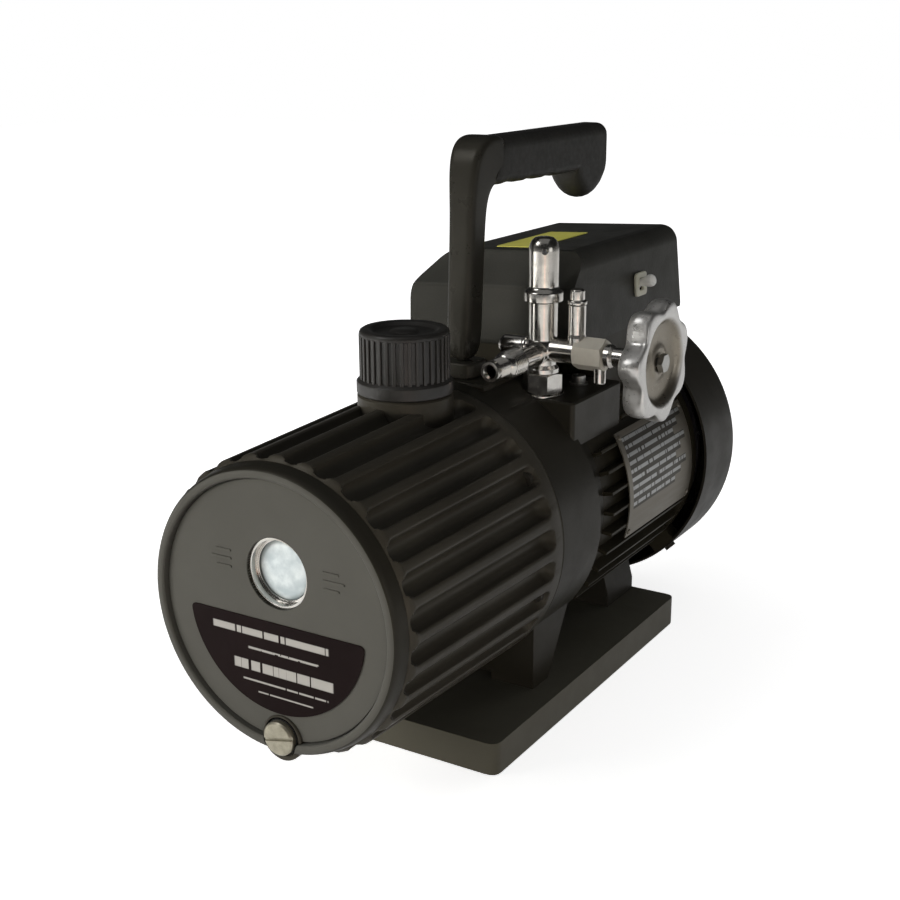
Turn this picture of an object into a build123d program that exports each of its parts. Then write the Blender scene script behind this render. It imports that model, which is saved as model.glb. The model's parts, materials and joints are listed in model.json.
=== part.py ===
from build123d import *
import math
import os

# Rotary vane vacuum pump, millimetres, +Z up.
# The shaft lies along Y: the oil casing and its sight glass face -Y, the motor
# and its fan cowl lie toward +Y. The origin is the centre of the base's underside.

# ---- driving dimensions -------------------------------------------------
AXIS_Z = 102.0          # shaft height above the underside
SEAT_GAP = 0.3          # air between pieces that move against each other
RUN_FIT = 0.05          # radial running fit of shafts and stems

BASE_W, BASE_L, BASE_H = 148.0, 225.4, 17.5

FRONT_Y = -193.7        # front rim of the oil casing
RIM_R = 70.0
CASE_REAR = -49.1       # rear face of the oil casing flange
GASKET_T = 1.0
RIB_R0, RIB_R1 = 74.0, 77.6   # rib crest radius at the front and at the rear
FLUTES = 28             # ribs and flutes around the casing
CASE_BORE = 63.5

BAND_Y0 = CASE_REAR + GASKET_T
BAND_Y1 = -3.3
BAND_R = 77.0

SPIGOT_R = 71.0
MOTOR_Y0, MOTOR_Y1 = 12.0, 128.0
FIN_R, FIN_ROOT = 77.0, 71.0
FIN_FIT = 0.01           # seat on the flat fin tips
MOTOR_FINS = 40
MOTOR_BORE = 66.0

COWL_Y1 = 180.5
COWL_R = 85.0
COWL_T = 1.5

BOX_ROLL = 3.0          # the box sits turned a little about the shaft axis
BOX_Y0, BOX_Y1 = 18.0, 160.0
BOX_HALF = 53.0         # half width under the shoulders
BOX_TOP = 138.5         # above the shaft axis
BOX_BROW = 119.5        # height where the front face turns into its sloping brow
BOX_FLOOR = 87.0
BOX_WALL = 3.0
BOX_DRAFT = 0.037

CAP_X, CAP_Y = -0.5, -77.0      # oil fill cap
NECK_TOP = 207.0
NECK_FOOT = 182.4
CAP_TOP = 215.4
CAP_SEAT = NECK_TOP + 2.0        # face inside the cap that holds the seal

POST_W = 14.0           # handle post across the pump
GRIP_W = 22.0
GRIP_TOP, GRIP_UNDER = 305.0, 280.5
GRIP_END = 133.0

HUB_X, HUB_Y, HUB_Z = 37.2, 1.3, 194.0   # middle of the intake manifold
BOSS_TOP = 168.5
DECK_TOP = AXIS_Z + BAND_R

SHAFT_R, PUMP_SHAFT_R = 8.5, 7.0
ECC = 3.5               # pump bore centre above the shaft axis
ROTOR_R, PUMP_BORE = 20.0, 24.0
STATOR_R = 46.0

os.makedirs("parts", exist_ok=True)
PARTS = {}


# ---- helpers --------------------------------------------------------------
def block(x0, x1, y0, y1, z0, z1):
    """Box between six planes."""
    centre = Pos((x0 + x1) / 2, (y0 + y1) / 2, (z0 + z1) / 2)
    return centre * Box(x1 - x0, y1 - y0, z1 - z0)


def cyl_x(r, x0, x1, y, z):
    return Pos((x0 + x1) / 2, y, z) * Rot(0, 90, 0) * Cylinder(r, x1 - x0)


def cyl_y(r, y0, y1, x=0.0, z=AXIS_Z):
    return Pos(x, (y0 + y1) / 2, z) * Rot(90, 0, 0) * Cylinder(r, y1 - y0)


def cyl_z(r, z0, z1, x, y):
    return Pos(x, y, (z0 + z1) / 2) * Cylinder(r, z1 - z0)


def ring_y(ro, ri, y0, y1, x=0.0, z=AXIS_Z):
    return cyl_y(ro, y0, y1, x, z) - cyl_y(ri, y0 - 1, y1 + 1, x, z)


def hex_x(flats, x0, x1, y, z):
    face = RegularPolygon(flats / 2, 6, major_radius=False)
    return Pos(x0, y, z) * Rot(0, 90, 0) * extrude(face, x1 - x0)


def hex_z(flats, z0, z1, x, y):
    face = RegularPolygon(flats / 2, 6, major_radius=False)
    return Pos(x, y, z0) * extrude(face, z1 - z0)


def turned_y(profile, z=AXIS_Z):
    """Solid of revolution about the shaft axis; profile holds (radius, y) pairs."""
    wire = Polyline(*[(r, y) for r, y in profile], close=True)
    return Pos(0, 0, z) * revolve(make_face(wire), Axis.Y)


def turned_z(profile, x, y):
    """Solid of revolution about a vertical line; profile holds (radius, z) pairs."""
    wire = Polyline(*[(r, 0, z) for r, z in profile], close=True)
    return Pos(x, y, 0) * revolve(make_face(wire), Axis.Z)


def turned_x(profile, y, z):
    """Solid of revolution about a line along X; profile holds (radius, x) pairs."""
    wire = Polyline(*[(x, r) for r, x in profile], close=True)
    return Pos(0, y, z) * revolve(make_face(wire), Axis.X)


def side_plate(points, x0, x1):
    """Extrude a (y, z) outline from x0 to x1."""
    wire = Polyline(*[(0, y, z) for y, z in points], close=True)
    return Pos(x0, 0, 0) * extrude(make_face(wire), x1 - x0, dir=(1, 0, 0))


def front_plate(points, y0, y1):
    """Extrude an (x, z) outline from y0 to y1."""
    wire = Polyline(*[(x, 0, z) for x, z in points], close=True)
    return Pos(0, y0, 0) * extrude(make_face(wire), y1 - y0, dir=(0, 1, 0))


def around(shape, angle):
    """Turn a shape drawn about the shaft axis to another angle."""
    return Pos(0, 0, AXIS_Z) * Rot(0, -angle, 0) * Pos(0, 0, -AXIS_Z) * shape


def on_box(shape):
    """Place a shape drawn with z measured from the shaft axis in the rolled box."""
    return Pos(0, 0, AXIS_Z) * Rot(0, -BOX_ROLL, 0) * shape


def screw_z(d, z_seat, length, x, y, up=True):
    """Socket head screw; the head stands on z_seat and the shank points away."""
    s = 1 if up else -1
    head = sorted((z_seat, z_seat + s * d))
    shank = sorted((z_seat, z_seat - s * length))
    socket = sorted((z_seat + s * d * 0.45, z_seat + s * (d + 1)))
    body = cyl_z(0.8 * d, *head, x, y) + cyl_z(d / 2, *shank, x, y)
    return body - hex_z(0.8 * d, *socket, x, y)


def screw_y(d, y_seat, length, x, z, front=True):
    """Socket head screw along Y; the head stands on y_seat."""
    s = -1 if front else 1
    head = sorted((y_seat, y_seat + s * d))
    shank = sorted((y_seat, y_seat - s * length))
    socket = sorted((y_seat + s * d * 0.45, y_seat + s * (d + 1)))
    body = cyl_y(0.8 * d, *head, x, z) + cyl_y(d / 2, *shank, x, z)
    return body - cyl_y(0.4 * d, *socket, x, z)


# ---- base -------------------------------------------------------------------
FOOT_Y1 = BASE_L / 2 - 2.7
FOOT_Y0 = FOOT_Y1 - 36.0
PED_SCREWS = [(x, -39.5) for x in (-42.0, 42.0)]
FOOT_SCREWS = [(x, FOOT_Y0 + 18.0) for x in (-34.0, 34.0)]


def base_plate():
    plate = block(-BASE_W / 2, BASE_W / 2, -BASE_L / 2, BASE_L / 2, 0, BASE_H)
    plate = fillet(plate.edges().filter_by(Axis.Z), 6)
    plate = fillet(plate.faces().sort_by(Axis.Z)[-1].edges(), 3.2)
    skin, wall, rib = 5.0, 6.0, 8.0
    hollow_z = BASE_H - skin
    for y0, y1 in ((-BASE_L / 2 + wall, -52.0), (-24.0, 66.0)):
        for side in (-1, 1):
            x0, x1 = sorted((side * rib, side * (BASE_W / 2 - wall)))
            pocket = block(x0, x1, y0, y1, -1, hollow_z)
            plate -= fillet(pocket.edges().filter_by(Axis.Z), 5)
    for x, y in PED_SCREWS + FOOT_SCREWS:
        plate -= cyl_z(5.2, -1, 8.0, x, y)
        plate -= cyl_z(3.2, 7.0, BASE_H + 1, x, y)
    return plate


def base_screws():
    return [screw_z(6.0, 8.0, 19.5, x, y, up=False) for x, y in PED_SCREWS + FOOT_SCREWS]


def rear_foot():
    top = AXIS_Z - 40.0
    outline = [(-46, BASE_H), (46, BASE_H), (46, BASE_H + 8), (36, top), (-36, top), (-46, BASE_H + 8)]
    foot = front_plate(outline, FOOT_Y0, FOOT_Y1)
    foot -= cyl_y(FIN_R + FIN_FIT, FOOT_Y0 - 1, FOOT_Y1 + 1)
    for x, y in FOOT_SCREWS:
        foot -= cyl_z(3.0, BASE_H - 1, BASE_H + 10.2, x, y)
    return foot


# ---- centre bracket ------------------------------------------------------------
DECK_Y0, DECK_Y1 = -36.0, BAND_Y1
BOSS_X0, BOSS_X1 = 20.0, 62.0
BOSS_Y0, BOSS_Y1 = -10.0, 50.0
BOSS_SCREW = (44.0, 31.5)
HANDLE_SCREW_Y = -19.5
PORT_Y0 = -30.0


def centre_bracket():
    band = cyl_y(BAND_R, BAND_Y0, BAND_Y1)
    band = chamfer(band.edges(), 0.8)
    spigot = cyl_y(SPIGOT_R, BAND_Y1 - 1, MOTOR_Y0)
    outline = [(BAND_Y0, BASE_H), (-31.0, BASE_H), (BAND_Y1, 62.0), (BAND_Y1, AXIS_Z), (BAND_Y0, AXIS_Z)]
    pedestal = side_plate(outline, -60.0, 60.0)
    left = [(-58, DECK_TOP), (22, DECK_TOP), (22, AXIS_Z), (-58, AXIS_Z)]
    deck = front_plate(left, DECK_Y0, DECK_Y1)
    deck = chamfer(deck.faces().sort_by(Axis.Z)[-1].edges(), 1.2)
    boss = block(BOSS_X0, BOSS_X1, BOSS_Y0, BOSS_Y1, 143.5, BOSS_TOP)
    boss = fillet(boss.edges().filter_by(Axis.Z).sort_by(Axis.X)[-2:], 2.5)
    boss = chamfer(boss.faces().sort_by(Axis.Z)[-1].edges(), 1.0)
    boss -= cyl_y(FIN_ROOT, MOTOR_Y0, BOSS_Y1 + 1)
    body = band + spigot + pedestal + deck + boss
    # hollow behind the web for the coupling
    body -= cyl_y(SPIGOT_R - 13.0, -26.0, MOTOR_Y0 + 1)
    # shaft seal pocket and bush bore
    body -= cyl_y(14.0, BAND_Y0 - 1, -42.0)
    body -= cyl_y(10.0, BAND_Y0 - 1, -25.0)
    # window under the band between the two legs of the pedestal
    body -= block(-34, 34, BAND_Y0 - 1, 0, BASE_H - 1, 22.0)
    for x, y in PED_SCREWS:
        body -= cyl_z(3.0, BASE_H - 1, BASE_H + 10.2, x, y)
    # intake passage from the manifold seat down and forward to the pump
    body -= cyl_z(12.0, BOSS_TOP, DECK_TOP + 1, HUB_X, HUB_Y)
    body -= cyl_z(3.0, 152.0, BOSS_TOP + 1, HUB_X, HUB_Y)
    body -= cyl_z(6.1, BOSS_TOP - 9.0, BOSS_TOP + 1, HUB_X, HUB_Y)
    body -= cyl_z(2.6, BOSS_TOP - 9.0, BOSS_TOP + 1, *BOSS_SCREW)
    for x in (-4.0, 4.0):
        body -= cyl_z(2.0, DECK_TOP - 12.0, DECK_TOP + 1, x, HANDLE_SCREW_Y)
    for x, z in pump_bolt_places():
        body -= cyl_y(2.5, BAND_Y0 - 1, BAND_Y0 + 12.2, x, z)
    for x, z in casing_screw_places():
        body -= cyl_y(2.5, BAND_Y0 - 1, BAND_Y0 + 10.2, x, z)
    return body


def boss_screw():
    x, y = BOSS_SCREW
    head = screw_z(5.0, BOSS_TOP, 8.5, x, y)
    return head + cyl_z(5.4, BOSS_TOP, BOSS_TOP + 0.9, x, y)


# ---- oil casing ---------------------------------------------------------------
FLUTE_R = 5.6
FLUTE_Y0, FLUTE_Y1 = -178.0, -62.0
SIGHT_Z = AXIS_Z + 19.6
SIGHT_X = 2.8
SIGHT_HOLE = 17.5
SIGHT_DEPTH = 10.5      # recess of the sight glass behind the panel
SIGHT_STACK = 3.4       # glass and ring at the bottom of the recess
DRAIN_X = 2.5
DRAIN_Z = AXIS_Z - 62.5
PANEL_R = 65.0
PANEL_DEPTH = 3.2
DRAIN_SEAT = FRONT_Y + PANEL_DEPTH      # floor of the drain notch, level with the panel
LABEL_R, LABEL_X = 51.2, 0.9
FRONT_WALL = 8.0
SCREW_FLUTES = (2, 6, 10, 14, 18, 22, 26)


def casing_screw_places():
    places = []
    for k in SCREW_FLUTES:
        a = math.radians((k + 0.5) * 360.0 / FLUTES)
        places.append((71.2 * math.cos(a), AXIS_Z + 71.2 * math.sin(a)))
    return places


def flute(k):
    """One round-bottomed groove that follows the draft of the casing."""
    angle = (k + 0.5) * 360.0 / FLUTES
    draft = (RIB_R1 - RIB_R0) / (FLUTE_Y1 - FLUTE_Y0)
    tilt = math.degrees(math.atan(draft))
    length = FLUTE_Y1 - FLUTE_Y0
    groove = Pos(0, length / 2, 0) * Rot(90, 0, 0) * Cylinder(FLUTE_R, length)
    groove += Sphere(FLUTE_R)
    groove += Pos(0, length / 2, FLUTE_R) * Box(2 * FLUTE_R, length, 2 * FLUTE_R)
    groove += Pos(0, 0, FLUTE_R) * Cylinder(FLUTE_R, 2 * FLUTE_R)
    placed = Pos(0, FLUTE_Y0, AXIS_Z + RIB_R0 - 1.2) * Rot(tilt, 0, 0) * groove
    return around(placed, angle - 90.0)


def casing_shell():
    """Rim, ribbed barrel and rear flange before the flutes are cut."""
    return turned_y([
        (0, FRONT_Y), (RIM_R - 2.6, FRONT_Y), (RIM_R - 0.8, FRONT_Y + 0.8), (RIM_R, FRONT_Y + 2.6),
        (RIM_R + 1.6, -184.5), (RIB_R0 - 0.9, -183.4), (RIB_R0, -181.6),
        (RIB_R1, -58.0), (RIB_R1, CASE_REAR), (0, CASE_REAR)])


def oil_casing():
    body = casing_shell()
    body = body.cut(*[flute(k) for k in range(FLUTES)])
    neck = cyl_z(24.6, AXIS_Z + 55, NECK_FOOT, CAP_X, CAP_Y)
    neck += cyl_z(18.0, AXIS_Z + 55, NECK_TOP, CAP_X, CAP_Y)
    body += neck
    body += cyl_y(11.6, FRONT_Y + 1.2, -168.0, DRAIN_X, DRAIN_Z - 1.0)
    body -= cyl_y(CASE_BORE, FRONT_Y + FRONT_WALL, CASE_REAR + 1)
    # pocket wall that holds the sight glass back from the panel
    face = FRONT_Y + PANEL_DEPTH
    body += cyl_y(SIGHT_HOLE + 4.5, face, face + SIGHT_DEPTH + 4.0, SIGHT_X, SIGHT_Z)
    body -= cyl_z(15.0, AXIS_Z + 40, NECK_TOP + 1, CAP_X, CAP_Y)
    # shallow panel inside the rim, sight glass seat and drain hole
    body -= cyl_y(PANEL_R, FRONT_Y - 1, FRONT_Y + PANEL_DEPTH)
    body -= cyl_y(SIGHT_HOLE, face - 1, face + SIGHT_DEPTH, SIGHT_X, SIGHT_Z)
    body -= cyl_y(13.0, face, face + SIGHT_DEPTH + 5.0, SIGHT_X, SIGHT_Z)
    body -= cyl_y(10.0, FRONT_Y - 1, DRAIN_SEAT, DRAIN_X, DRAIN_Z)
    body -= cyl_y(4.0, FRONT_Y, FRONT_Y + 22.0, DRAIN_X, DRAIN_Z)
    body -= cyl_z(3.5, DRAIN_Z, DRAIN_Z + 8.0, DRAIN_X, FRONT_Y + 18.0)
    # level marks either side of the sight glass
    for side in (-1, 1):
        for dz, length in ((6.5, 9.0), (2.5, 12.0), (-1.5, 9.0)):
            x0, x1 = sorted((side * 26.5, side * (26.5 + length)))
            body += block(SIGHT_X + x0, SIGHT_X + x1, face - 0.5, face + 0.5,
                          SIGHT_Z + dz - 0.6, SIGHT_Z + dz + 0.6)
    # counterbores at the rear of the flutes that carry the screws
    for x, z in casing_screw_places():
        body -= cyl_y(4.6, -66.0, -56.1, x, z)
        body -= cyl_y(2.7, -60.0, CASE_REAR + 1, x, z)
    return body


def casing_gasket():
    ring = ring_y(RIB_R1 - 0.6, CASE_BORE + 2, CASE_REAR, BAND_Y0)
    for x, z in casing_screw_places():
        ring -= cyl_y(2.7, CASE_REAR - 1, BAND_Y0 + 1, x, z)
    return ring


def casing_screws():
    return [screw_y(5.0, -56.1, 18.0, x, z) for x, z in casing_screw_places()]


def front_label():
    """Thin segment-shaped plate below the sight glass, left without print."""
    face = FRONT_Y + PANEL_DEPTH
    segment = Circle(LABEL_R) & (Pos(0, -35.0) * Rectangle(120, 60))
    segment = fillet(segment.vertices(), 5.0)
    plate = extrude(segment, 0.6)
    return Pos(LABEL_X, face, AXIS_Z) * Rot(90, 0, 0) * plate


def sight_bezel():
    """Bright retaining sleeve pressed into the recess."""
    face = FRONT_Y + PANEL_DEPTH
    back = face + SIGHT_DEPTH - SIGHT_STACK
    sleeve = ring_y(SIGHT_HOLE, 15.9, face + 1.5, back, SIGHT_X, SIGHT_Z)
    return sleeve + ring_y(SIGHT_HOLE, 14.6, back - 1.6, back, SIGHT_X, SIGHT_Z)


def sight_glass():
    """Round window with a stepped front, clamped between sleeve and ring."""
    front = FRONT_Y + PANEL_DEPTH + SIGHT_DEPTH - SIGHT_STACK
    glass = cyl_y(16.8, front, front + 2.0, SIGHT_X, SIGHT_Z)
    return glass + cyl_y(14.3, front - 1.2, front, SIGHT_X, SIGHT_Z)


def sight_oring():
    rear = FRONT_Y + PANEL_DEPTH + SIGHT_DEPTH
    return ring_y(16.8, 13.4, rear - SIGHT_STACK + 2.0, rear, SIGHT_X, SIGHT_Z)


def drain_plug():
    """Broad slotted plug; its shank fills the drain hole."""
    back = DRAIN_SEAT - 1.2
    head = cyl_y(8.6, back - 3.4, back, DRAIN_X, DRAIN_Z)
    head = chamfer(head.edges().sort_by(Axis.Y)[0], 0.7)
    plug = head + cyl_y(3.7, back, back + 13.2, DRAIN_X, DRAIN_Z)
    slot = Pos(DRAIN_X, back - 3.0, DRAIN_Z) * Rot(0, -14, 0) * Box(24, 1.8, 1.6)
    return plug - slot


def drain_washer():
    return ring_y(9.0, 4.2, DRAIN_SEAT - 1.2, DRAIN_SEAT - SEAT_GAP, DRAIN_X, DRAIN_Z)


# ---- oil fill cap ---------------------------------------------------------------
def oil_fill_cap():
    """Ribbed screw cap over the neck, with a skirt and a dished top."""
    z0 = NECK_FOOT + SEAT_GAP
    skirt = z0 + 6.6
    body = turned_z([(0, z0), (24.8, z0), (24.8, skirt), (23.2, skirt + 1.4), (23.2, CAP_TOP - 1.6),
                     (21.6, CAP_TOP), (17.5, CAP_TOP), (15.5, CAP_TOP - 2.0), (7.5, CAP_TOP - 2.0),
                     (6.0, CAP_TOP - 0.6), (0, CAP_TOP - 0.6)], CAP_X, CAP_Y)
    grooves = []
    count = 36
    for k in range(count):
        groove = Pos(23.6, 0, (skirt + CAP_TOP) / 2) * Box(1.7, 2.0, 22.0)
        grooves.append(Pos(CAP_X, CAP_Y, 0) * Rot(0, 0, k * 360 / count) * groove)
    body = body.cut(*grooves)
    return body - cyl_z(18.0 + SEAT_GAP, z0 - 1, CAP_SEAT, CAP_X, CAP_Y)


def cap_seal():
    ring = cyl_z(18.0, NECK_TOP + SEAT_GAP, CAP_SEAT, CAP_X, CAP_Y)
    return ring - cyl_z(15.2, NECK_TOP, CAP_SEAT + 1, CAP_X, CAP_Y)


# ---- handle -----------------------------------------------------------------------
def handle_frame():
    """Upright post with a rounded shoulder and the bar inside the grip."""
    outline = [(-28.5, DECK_TOP + 8), (-12.0, DECK_TOP + 8), (-6.5, 272), (-3.0, 280.0),
               (GRIP_END - 9, GRIP_UNDER + 4), (GRIP_END - 9, GRIP_TOP - 6), (-2.0, 301.5), (-7.0, 302.5),
               (-14.0, 300.5), (-19.5, 296.0), (-22.5, 288.5)]
    post = side_plate(outline, -POST_W / 2, POST_W / 2)
    post = chamfer(post.edges().filter_by(Axis.Z, tolerance=6), 2.2)
    foot = Pos(0, -19.5, DECK_TOP) * extrude(RectangleRounded(20.0, 21.0, 5.0), 8.6)
    foot = chamfer(foot.faces().sort_by(Axis.Z)[-1].edges(), 1.5)
    frame = post + foot
    for x in (-4.0, 4.0):
        frame -= cyl_z(2.1, DECK_TOP - 1, DECK_TOP + 9, x, HANDLE_SCREW_Y)
    return frame


def handle_screws():
    return [cyl_z(2.0, DECK_TOP - 11.5, DECK_TOP + 8.4, x, HANDLE_SCREW_Y) for x in (-4.0, 4.0)]


LOBE_R = 18.5           # hand stop at the rear end of the grip
LOBE_LOW = 263.5


def handle_grip():
    """Soft sleeve with finger hollows and a round nose hanging at the rear end."""
    y0 = 1.5
    half = GRIP_W / 2
    body = block(-half, half, y0, GRIP_END, GRIP_UNDER, GRIP_TOP)
    top_edges = body.edges().filter_by(Axis.Y).group_by(Axis.Z)[-1]
    body = fillet(top_edges, 7.0)
    rear = body.faces().sort_by(Axis.Y)[-1].edges().filter_by(Axis.X).sort_by(Axis.Z)[-1]
    body = chamfer(rear, 3.0)
    round_under = cyl_y(half, y0, GRIP_END - 1.0, 0, LOBE_LOW + half)
    round_under += block(-half, half, y0, GRIP_END - 1.0, LOBE_LOW + half, GRIP_UNDER + 5)
    body += cyl_x(LOBE_R, -half, half, GRIP_END - 1.0 - LOBE_R, LOBE_LOW + LOBE_R) & round_under
    for k in range(3):
        body -= cyl_x(26.0, -20, 20, 15.0 + 22.0 * k, GRIP_UNDER - 24.6)
    core = [(y0 - 8, 280.0), (-3.0, 280.0), (GRIP_END - 9, GRIP_UNDER + 4),
            (GRIP_END - 9, GRIP_TOP - 6), (-2.0, 301.5), (y0 - 8, 302.6)]
    body -= side_plate(core, -POST_W / 2, POST_W / 2)
    return body


# ---- intake manifold ----------------------------------------------------------------
PORT_TOP = HUB_Z + 25.7
SMALL_X = HUB_X + 20.3
HEX_X0, HEX_X1 = 58.0, 75.0
FLARE_Y = -56.0
FLARE_R = 5.55          # 7/16 in thread of a quarter-inch flare
FLARE_Z = HUB_Z - 1.4
BRANCH_Y = -9.0         # joint face between the hub and the forward branch
NUT_TOP = HUB_Z - 13.0


def manifold_body():
    body = Pos(HUB_X, HUB_Y, HUB_Z) * Sphere(9.4)
    body += cyl_x(6.8, 27.0, HEX_X0 + 2, HUB_Y, HUB_Z)
    body += cyl_z(8.1, HUB_Z, PORT_TOP, HUB_X, HUB_Y)
    body += cyl_z(4.6, PORT_TOP, PORT_TOP + 18.3, HUB_X, HUB_Y)
    body += cyl_z(6.0, BOSS_TOP - 8.5, HUB_Z, HUB_X, HUB_Y)
    body += cyl_z(9.0, NUT_TOP, NUT_TOP + 3.4, HUB_X, HUB_Y)
    body += cyl_x(3.6, 16.5, 28.0, HUB_Y, HUB_Z)
    body += cyl_y(6.6, BRANCH_Y, HUB_Y, HUB_X, FLARE_Z)
    # valve body with its small branch and the stub under it
    body += hex_x(15.6, HEX_X0, HEX_X1, HUB_Y, HUB_Z)
    body += cyl_z(4.7, HUB_Z, PORT_TOP, SMALL_X, HUB_Y)
    body += cyl_z(2.4, PORT_TOP, PORT_TOP + 5.3, SMALL_X, HUB_Y)
    body += cyl_z(3.2, HUB_Z - 15.5, HUB_Z, 71.5, HUB_Y)
    # passages
    body -= cyl_y(2.2, BRANCH_Y - 1, HUB_Y, HUB_X, FLARE_Z)
    body -= cyl_z(2.75, BOSS_TOP - 10, HUB_Z, HUB_X, HUB_Y)
    body -= cyl_x(2.2, HUB_X, 46.0, HUB_Y, HUB_Z)
    body -= cyl_x(4.5, 45.5, HEX_X1 + 1, HUB_Y, HUB_Z)
    return body


def flare_branch():
    """Forward branch, brazed to the hub, with its threaded flare end."""
    body = cyl_y(4.6, -40.0, BRANCH_Y, HUB_X, FLARE_Z)
    body += cyl_y(6.4, -43.0, -30.0, HUB_X, FLARE_Z)
    body += cyl_y(FLARE_R, FLARE_Y + 3.0, -42.0, HUB_X, FLARE_Z)
    body += Pos(HUB_X, FLARE_Y + 1.5, FLARE_Z) * Rot(90, 0, 0) * Cone(FLARE_R, 4.2, 3.0)
    return body - cyl_y(2.75, FLARE_Y - 1, BRANCH_Y + 1, HUB_X, FLARE_Z)


def manifold_nut():
    nut = hex_z(19.0, BOSS_TOP + 1.2, NUT_TOP, HUB_X, HUB_Y)
    nut += cyl_z(11.5, BOSS_TOP, BOSS_TOP + 1.2, HUB_X, HUB_Y)
    return nut - cyl_z(6.0, BOSS_TOP - 1, NUT_TOP + 1, HUB_X, HUB_Y)


def port_cap_top():
    z0 = PORT_TOP + SEAT_GAP
    rises = [(10.7, 5.5), (9.6, 6.7), (8.2, 7.5), (8.2, 27.3), (7.6, 30.9), (6.2, 33.5), (4.4, 34.7), (0, 34.7)]
    profile = [(0, z0), (10.7, z0)] + [(r, PORT_TOP + rise) for r, rise in rises]
    cap = turned_z(profile, HUB_X, HUB_Y)
    cap -= cyl_z(4.9, z0 - 1, PORT_TOP + 20.3, HUB_X, HUB_Y)
    return cap - cyl_y(1.5, HUB_Y - 12, HUB_Y + 12, HUB_X + 0.8, PORT_TOP + 29.5)


def port_cap_left():
    x1 = 27.0 - SEAT_GAP
    cap = turned_x([(0, 11.2), (3.4, 11.2), (5.2, 12.4), (6.2, 14.8), (6.2, x1), (0, x1)], HUB_Y, HUB_Z)
    return cap - cyl_x(3.9, 15.0, x1 + 1, HUB_Y, HUB_Z)


def port_cap_small():
    z0 = PORT_TOP + SEAT_GAP
    rises = [(5.2, 2.3), (3.9, 2.9), (3.9, 7.5), (3.1, 8.5), (0, 8.5)]
    profile = [(0, z0), (5.2, z0)] + [(r, PORT_TOP + rise) for r, rise in rises]
    cap = turned_z(profile, SMALL_X, HUB_Y)
    return cap - cyl_z(2.7, z0 - 1, PORT_TOP + 6.3, SMALL_X, HUB_Y)


# ---- intake valve --------------------------------------------------------------------
STEM_R = 2.5
WHEEL_X0, WHEEL_X1 = 94.5, 108.5
LOBES = 7
LOBE_REACH = 33.2       # radius over the lobes
LOBE_PHASE = -18.0


def valve_bonnet():
    body = turned_x([(0, HEX_X1), (6.4, HEX_X1), (6.4, 79.0), (5.4, 80.0), (5.4, 86.0), (4.4, 88.5),
                     (0, 88.5)], HUB_Y, HUB_Z)
    body += cyl_x(4.5, HEX_X1 - 5.0, HEX_X1, HUB_Y, HUB_Z)
    return body - cyl_x(STEM_R + RUN_FIT, 60, 100, HUB_Y, HUB_Z)


def valve_stem():
    return cyl_x(STEM_R, 53.5, WHEEL_X1 - 2.6, HUB_Y, HUB_Z)


def valve_disc():
    disc = cyl_x(4.1, 50.0, 57.5, HUB_Y, HUB_Z)
    return disc - cyl_x(STEM_R + RUN_FIT, 51.5, 58.0, HUB_Y, HUB_Z)


def handwheel():
    """Lobed wheel with a dished outer face; the lobes are thinner at the rim."""
    face = WHEEL_X1
    wheel = turned_x([(0, WHEEL_X0), (22.0, WHEEL_X0), (24.5, WHEEL_X0 + 1.5), (29.6, face - 3.0),
                      (29.0, face), (23.5, face), (20.0, face - 3.8), (9.5, face - 4.8),
                      (8.5, face - 2.6), (0, face - 2.6)], HUB_Y, HUB_Z)
    lobes = []
    hollows = []
    for k in range(LOBES):
        turn = Pos(0, HUB_Y, HUB_Z) * Rot(LOBE_PHASE + k * 360 / LOBES, 0, 0)
        between = Rot(180 / LOBES, 0, 0)
        middle = (WHEEL_X0 + face) / 2
        lobes.append(turn * (Pos(middle - 0.7, 0, LOBE_REACH - 6.2) * Rot(0, 90, 0) * Cylinder(6.2, 11.0)))
        hollows.append(turn * between * (Pos(middle, 0, 35.6) * Rot(0, 90, 0) * Cylinder(8.2, 30)))
    wheel = wheel.cut(*hollows)
    wheel = wheel.fuse(*lobes)
    # hollow at the back so that the wheel is a shell with a hub
    wheel -= cyl_x(20.0, WHEEL_X0 - 1, WHEEL_X0 + 4.0, HUB_Y, HUB_Z) - cyl_x(7.0, 80, 120, HUB_Y, HUB_Z)
    return wheel - cyl_x(STEM_R, 80, 120, HUB_Y, HUB_Z)


def wheel_nut():
    return hex_x(9.0, WHEEL_X1 - 2.6, WHEEL_X1 + 0.6, HUB_Y, HUB_Z)


# ---- motor -----------------------------------------------------------------------------
def motor_housing():
    body = cyl_y(FIN_ROOT, MOTOR_Y0, MOTOR_Y1)
    fins = []
    for k in range(MOTOR_FINS):
        fin = block(-1.1, 1.1, MOTOR_Y0, MOTOR_Y1 - 5.0, AXIS_Z + FIN_ROOT - 1.5, AXIS_Z + FIN_R)
        fins.append(around(fin, k * 360 / MOTOR_FINS))
    body = body.fuse(*fins)
    saddle = on_box(block(-BOX_HALF + 3, BOX_HALF - 3, BOX_Y0 + 4, MOTOR_Y1 - 1, 40.0, BOX_FLOOR))
    body += saddle
    # clearance over the boss of the centre bracket
    over_boss = block(BOSS_X0 - 1, BOSS_X1 + 4, MOTOR_Y0 - 1, BOSS_Y1 + 1, 136.0, 200.0)
    body -= over_boss - cyl_y(FIN_ROOT, MOTOR_Y0 - 2, BOSS_Y1 + 2)
    body -= cyl_y(MOTOR_BORE, MOTOR_Y0 - 1, MOTOR_Y1 + 1)
    return body


def stator_core():
    core = ring_y(MOTOR_BORE, 44.5, 34.0, 96.0)
    slots = []
    for k in range(24):
        slot = block(-2.0, 2.0, 33.0, 97.0, AXIS_Z + 43.0, AXIS_Z + 57.0)
        slots.append(around(slot, k * 15))
    return core.cut(*slots)


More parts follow.
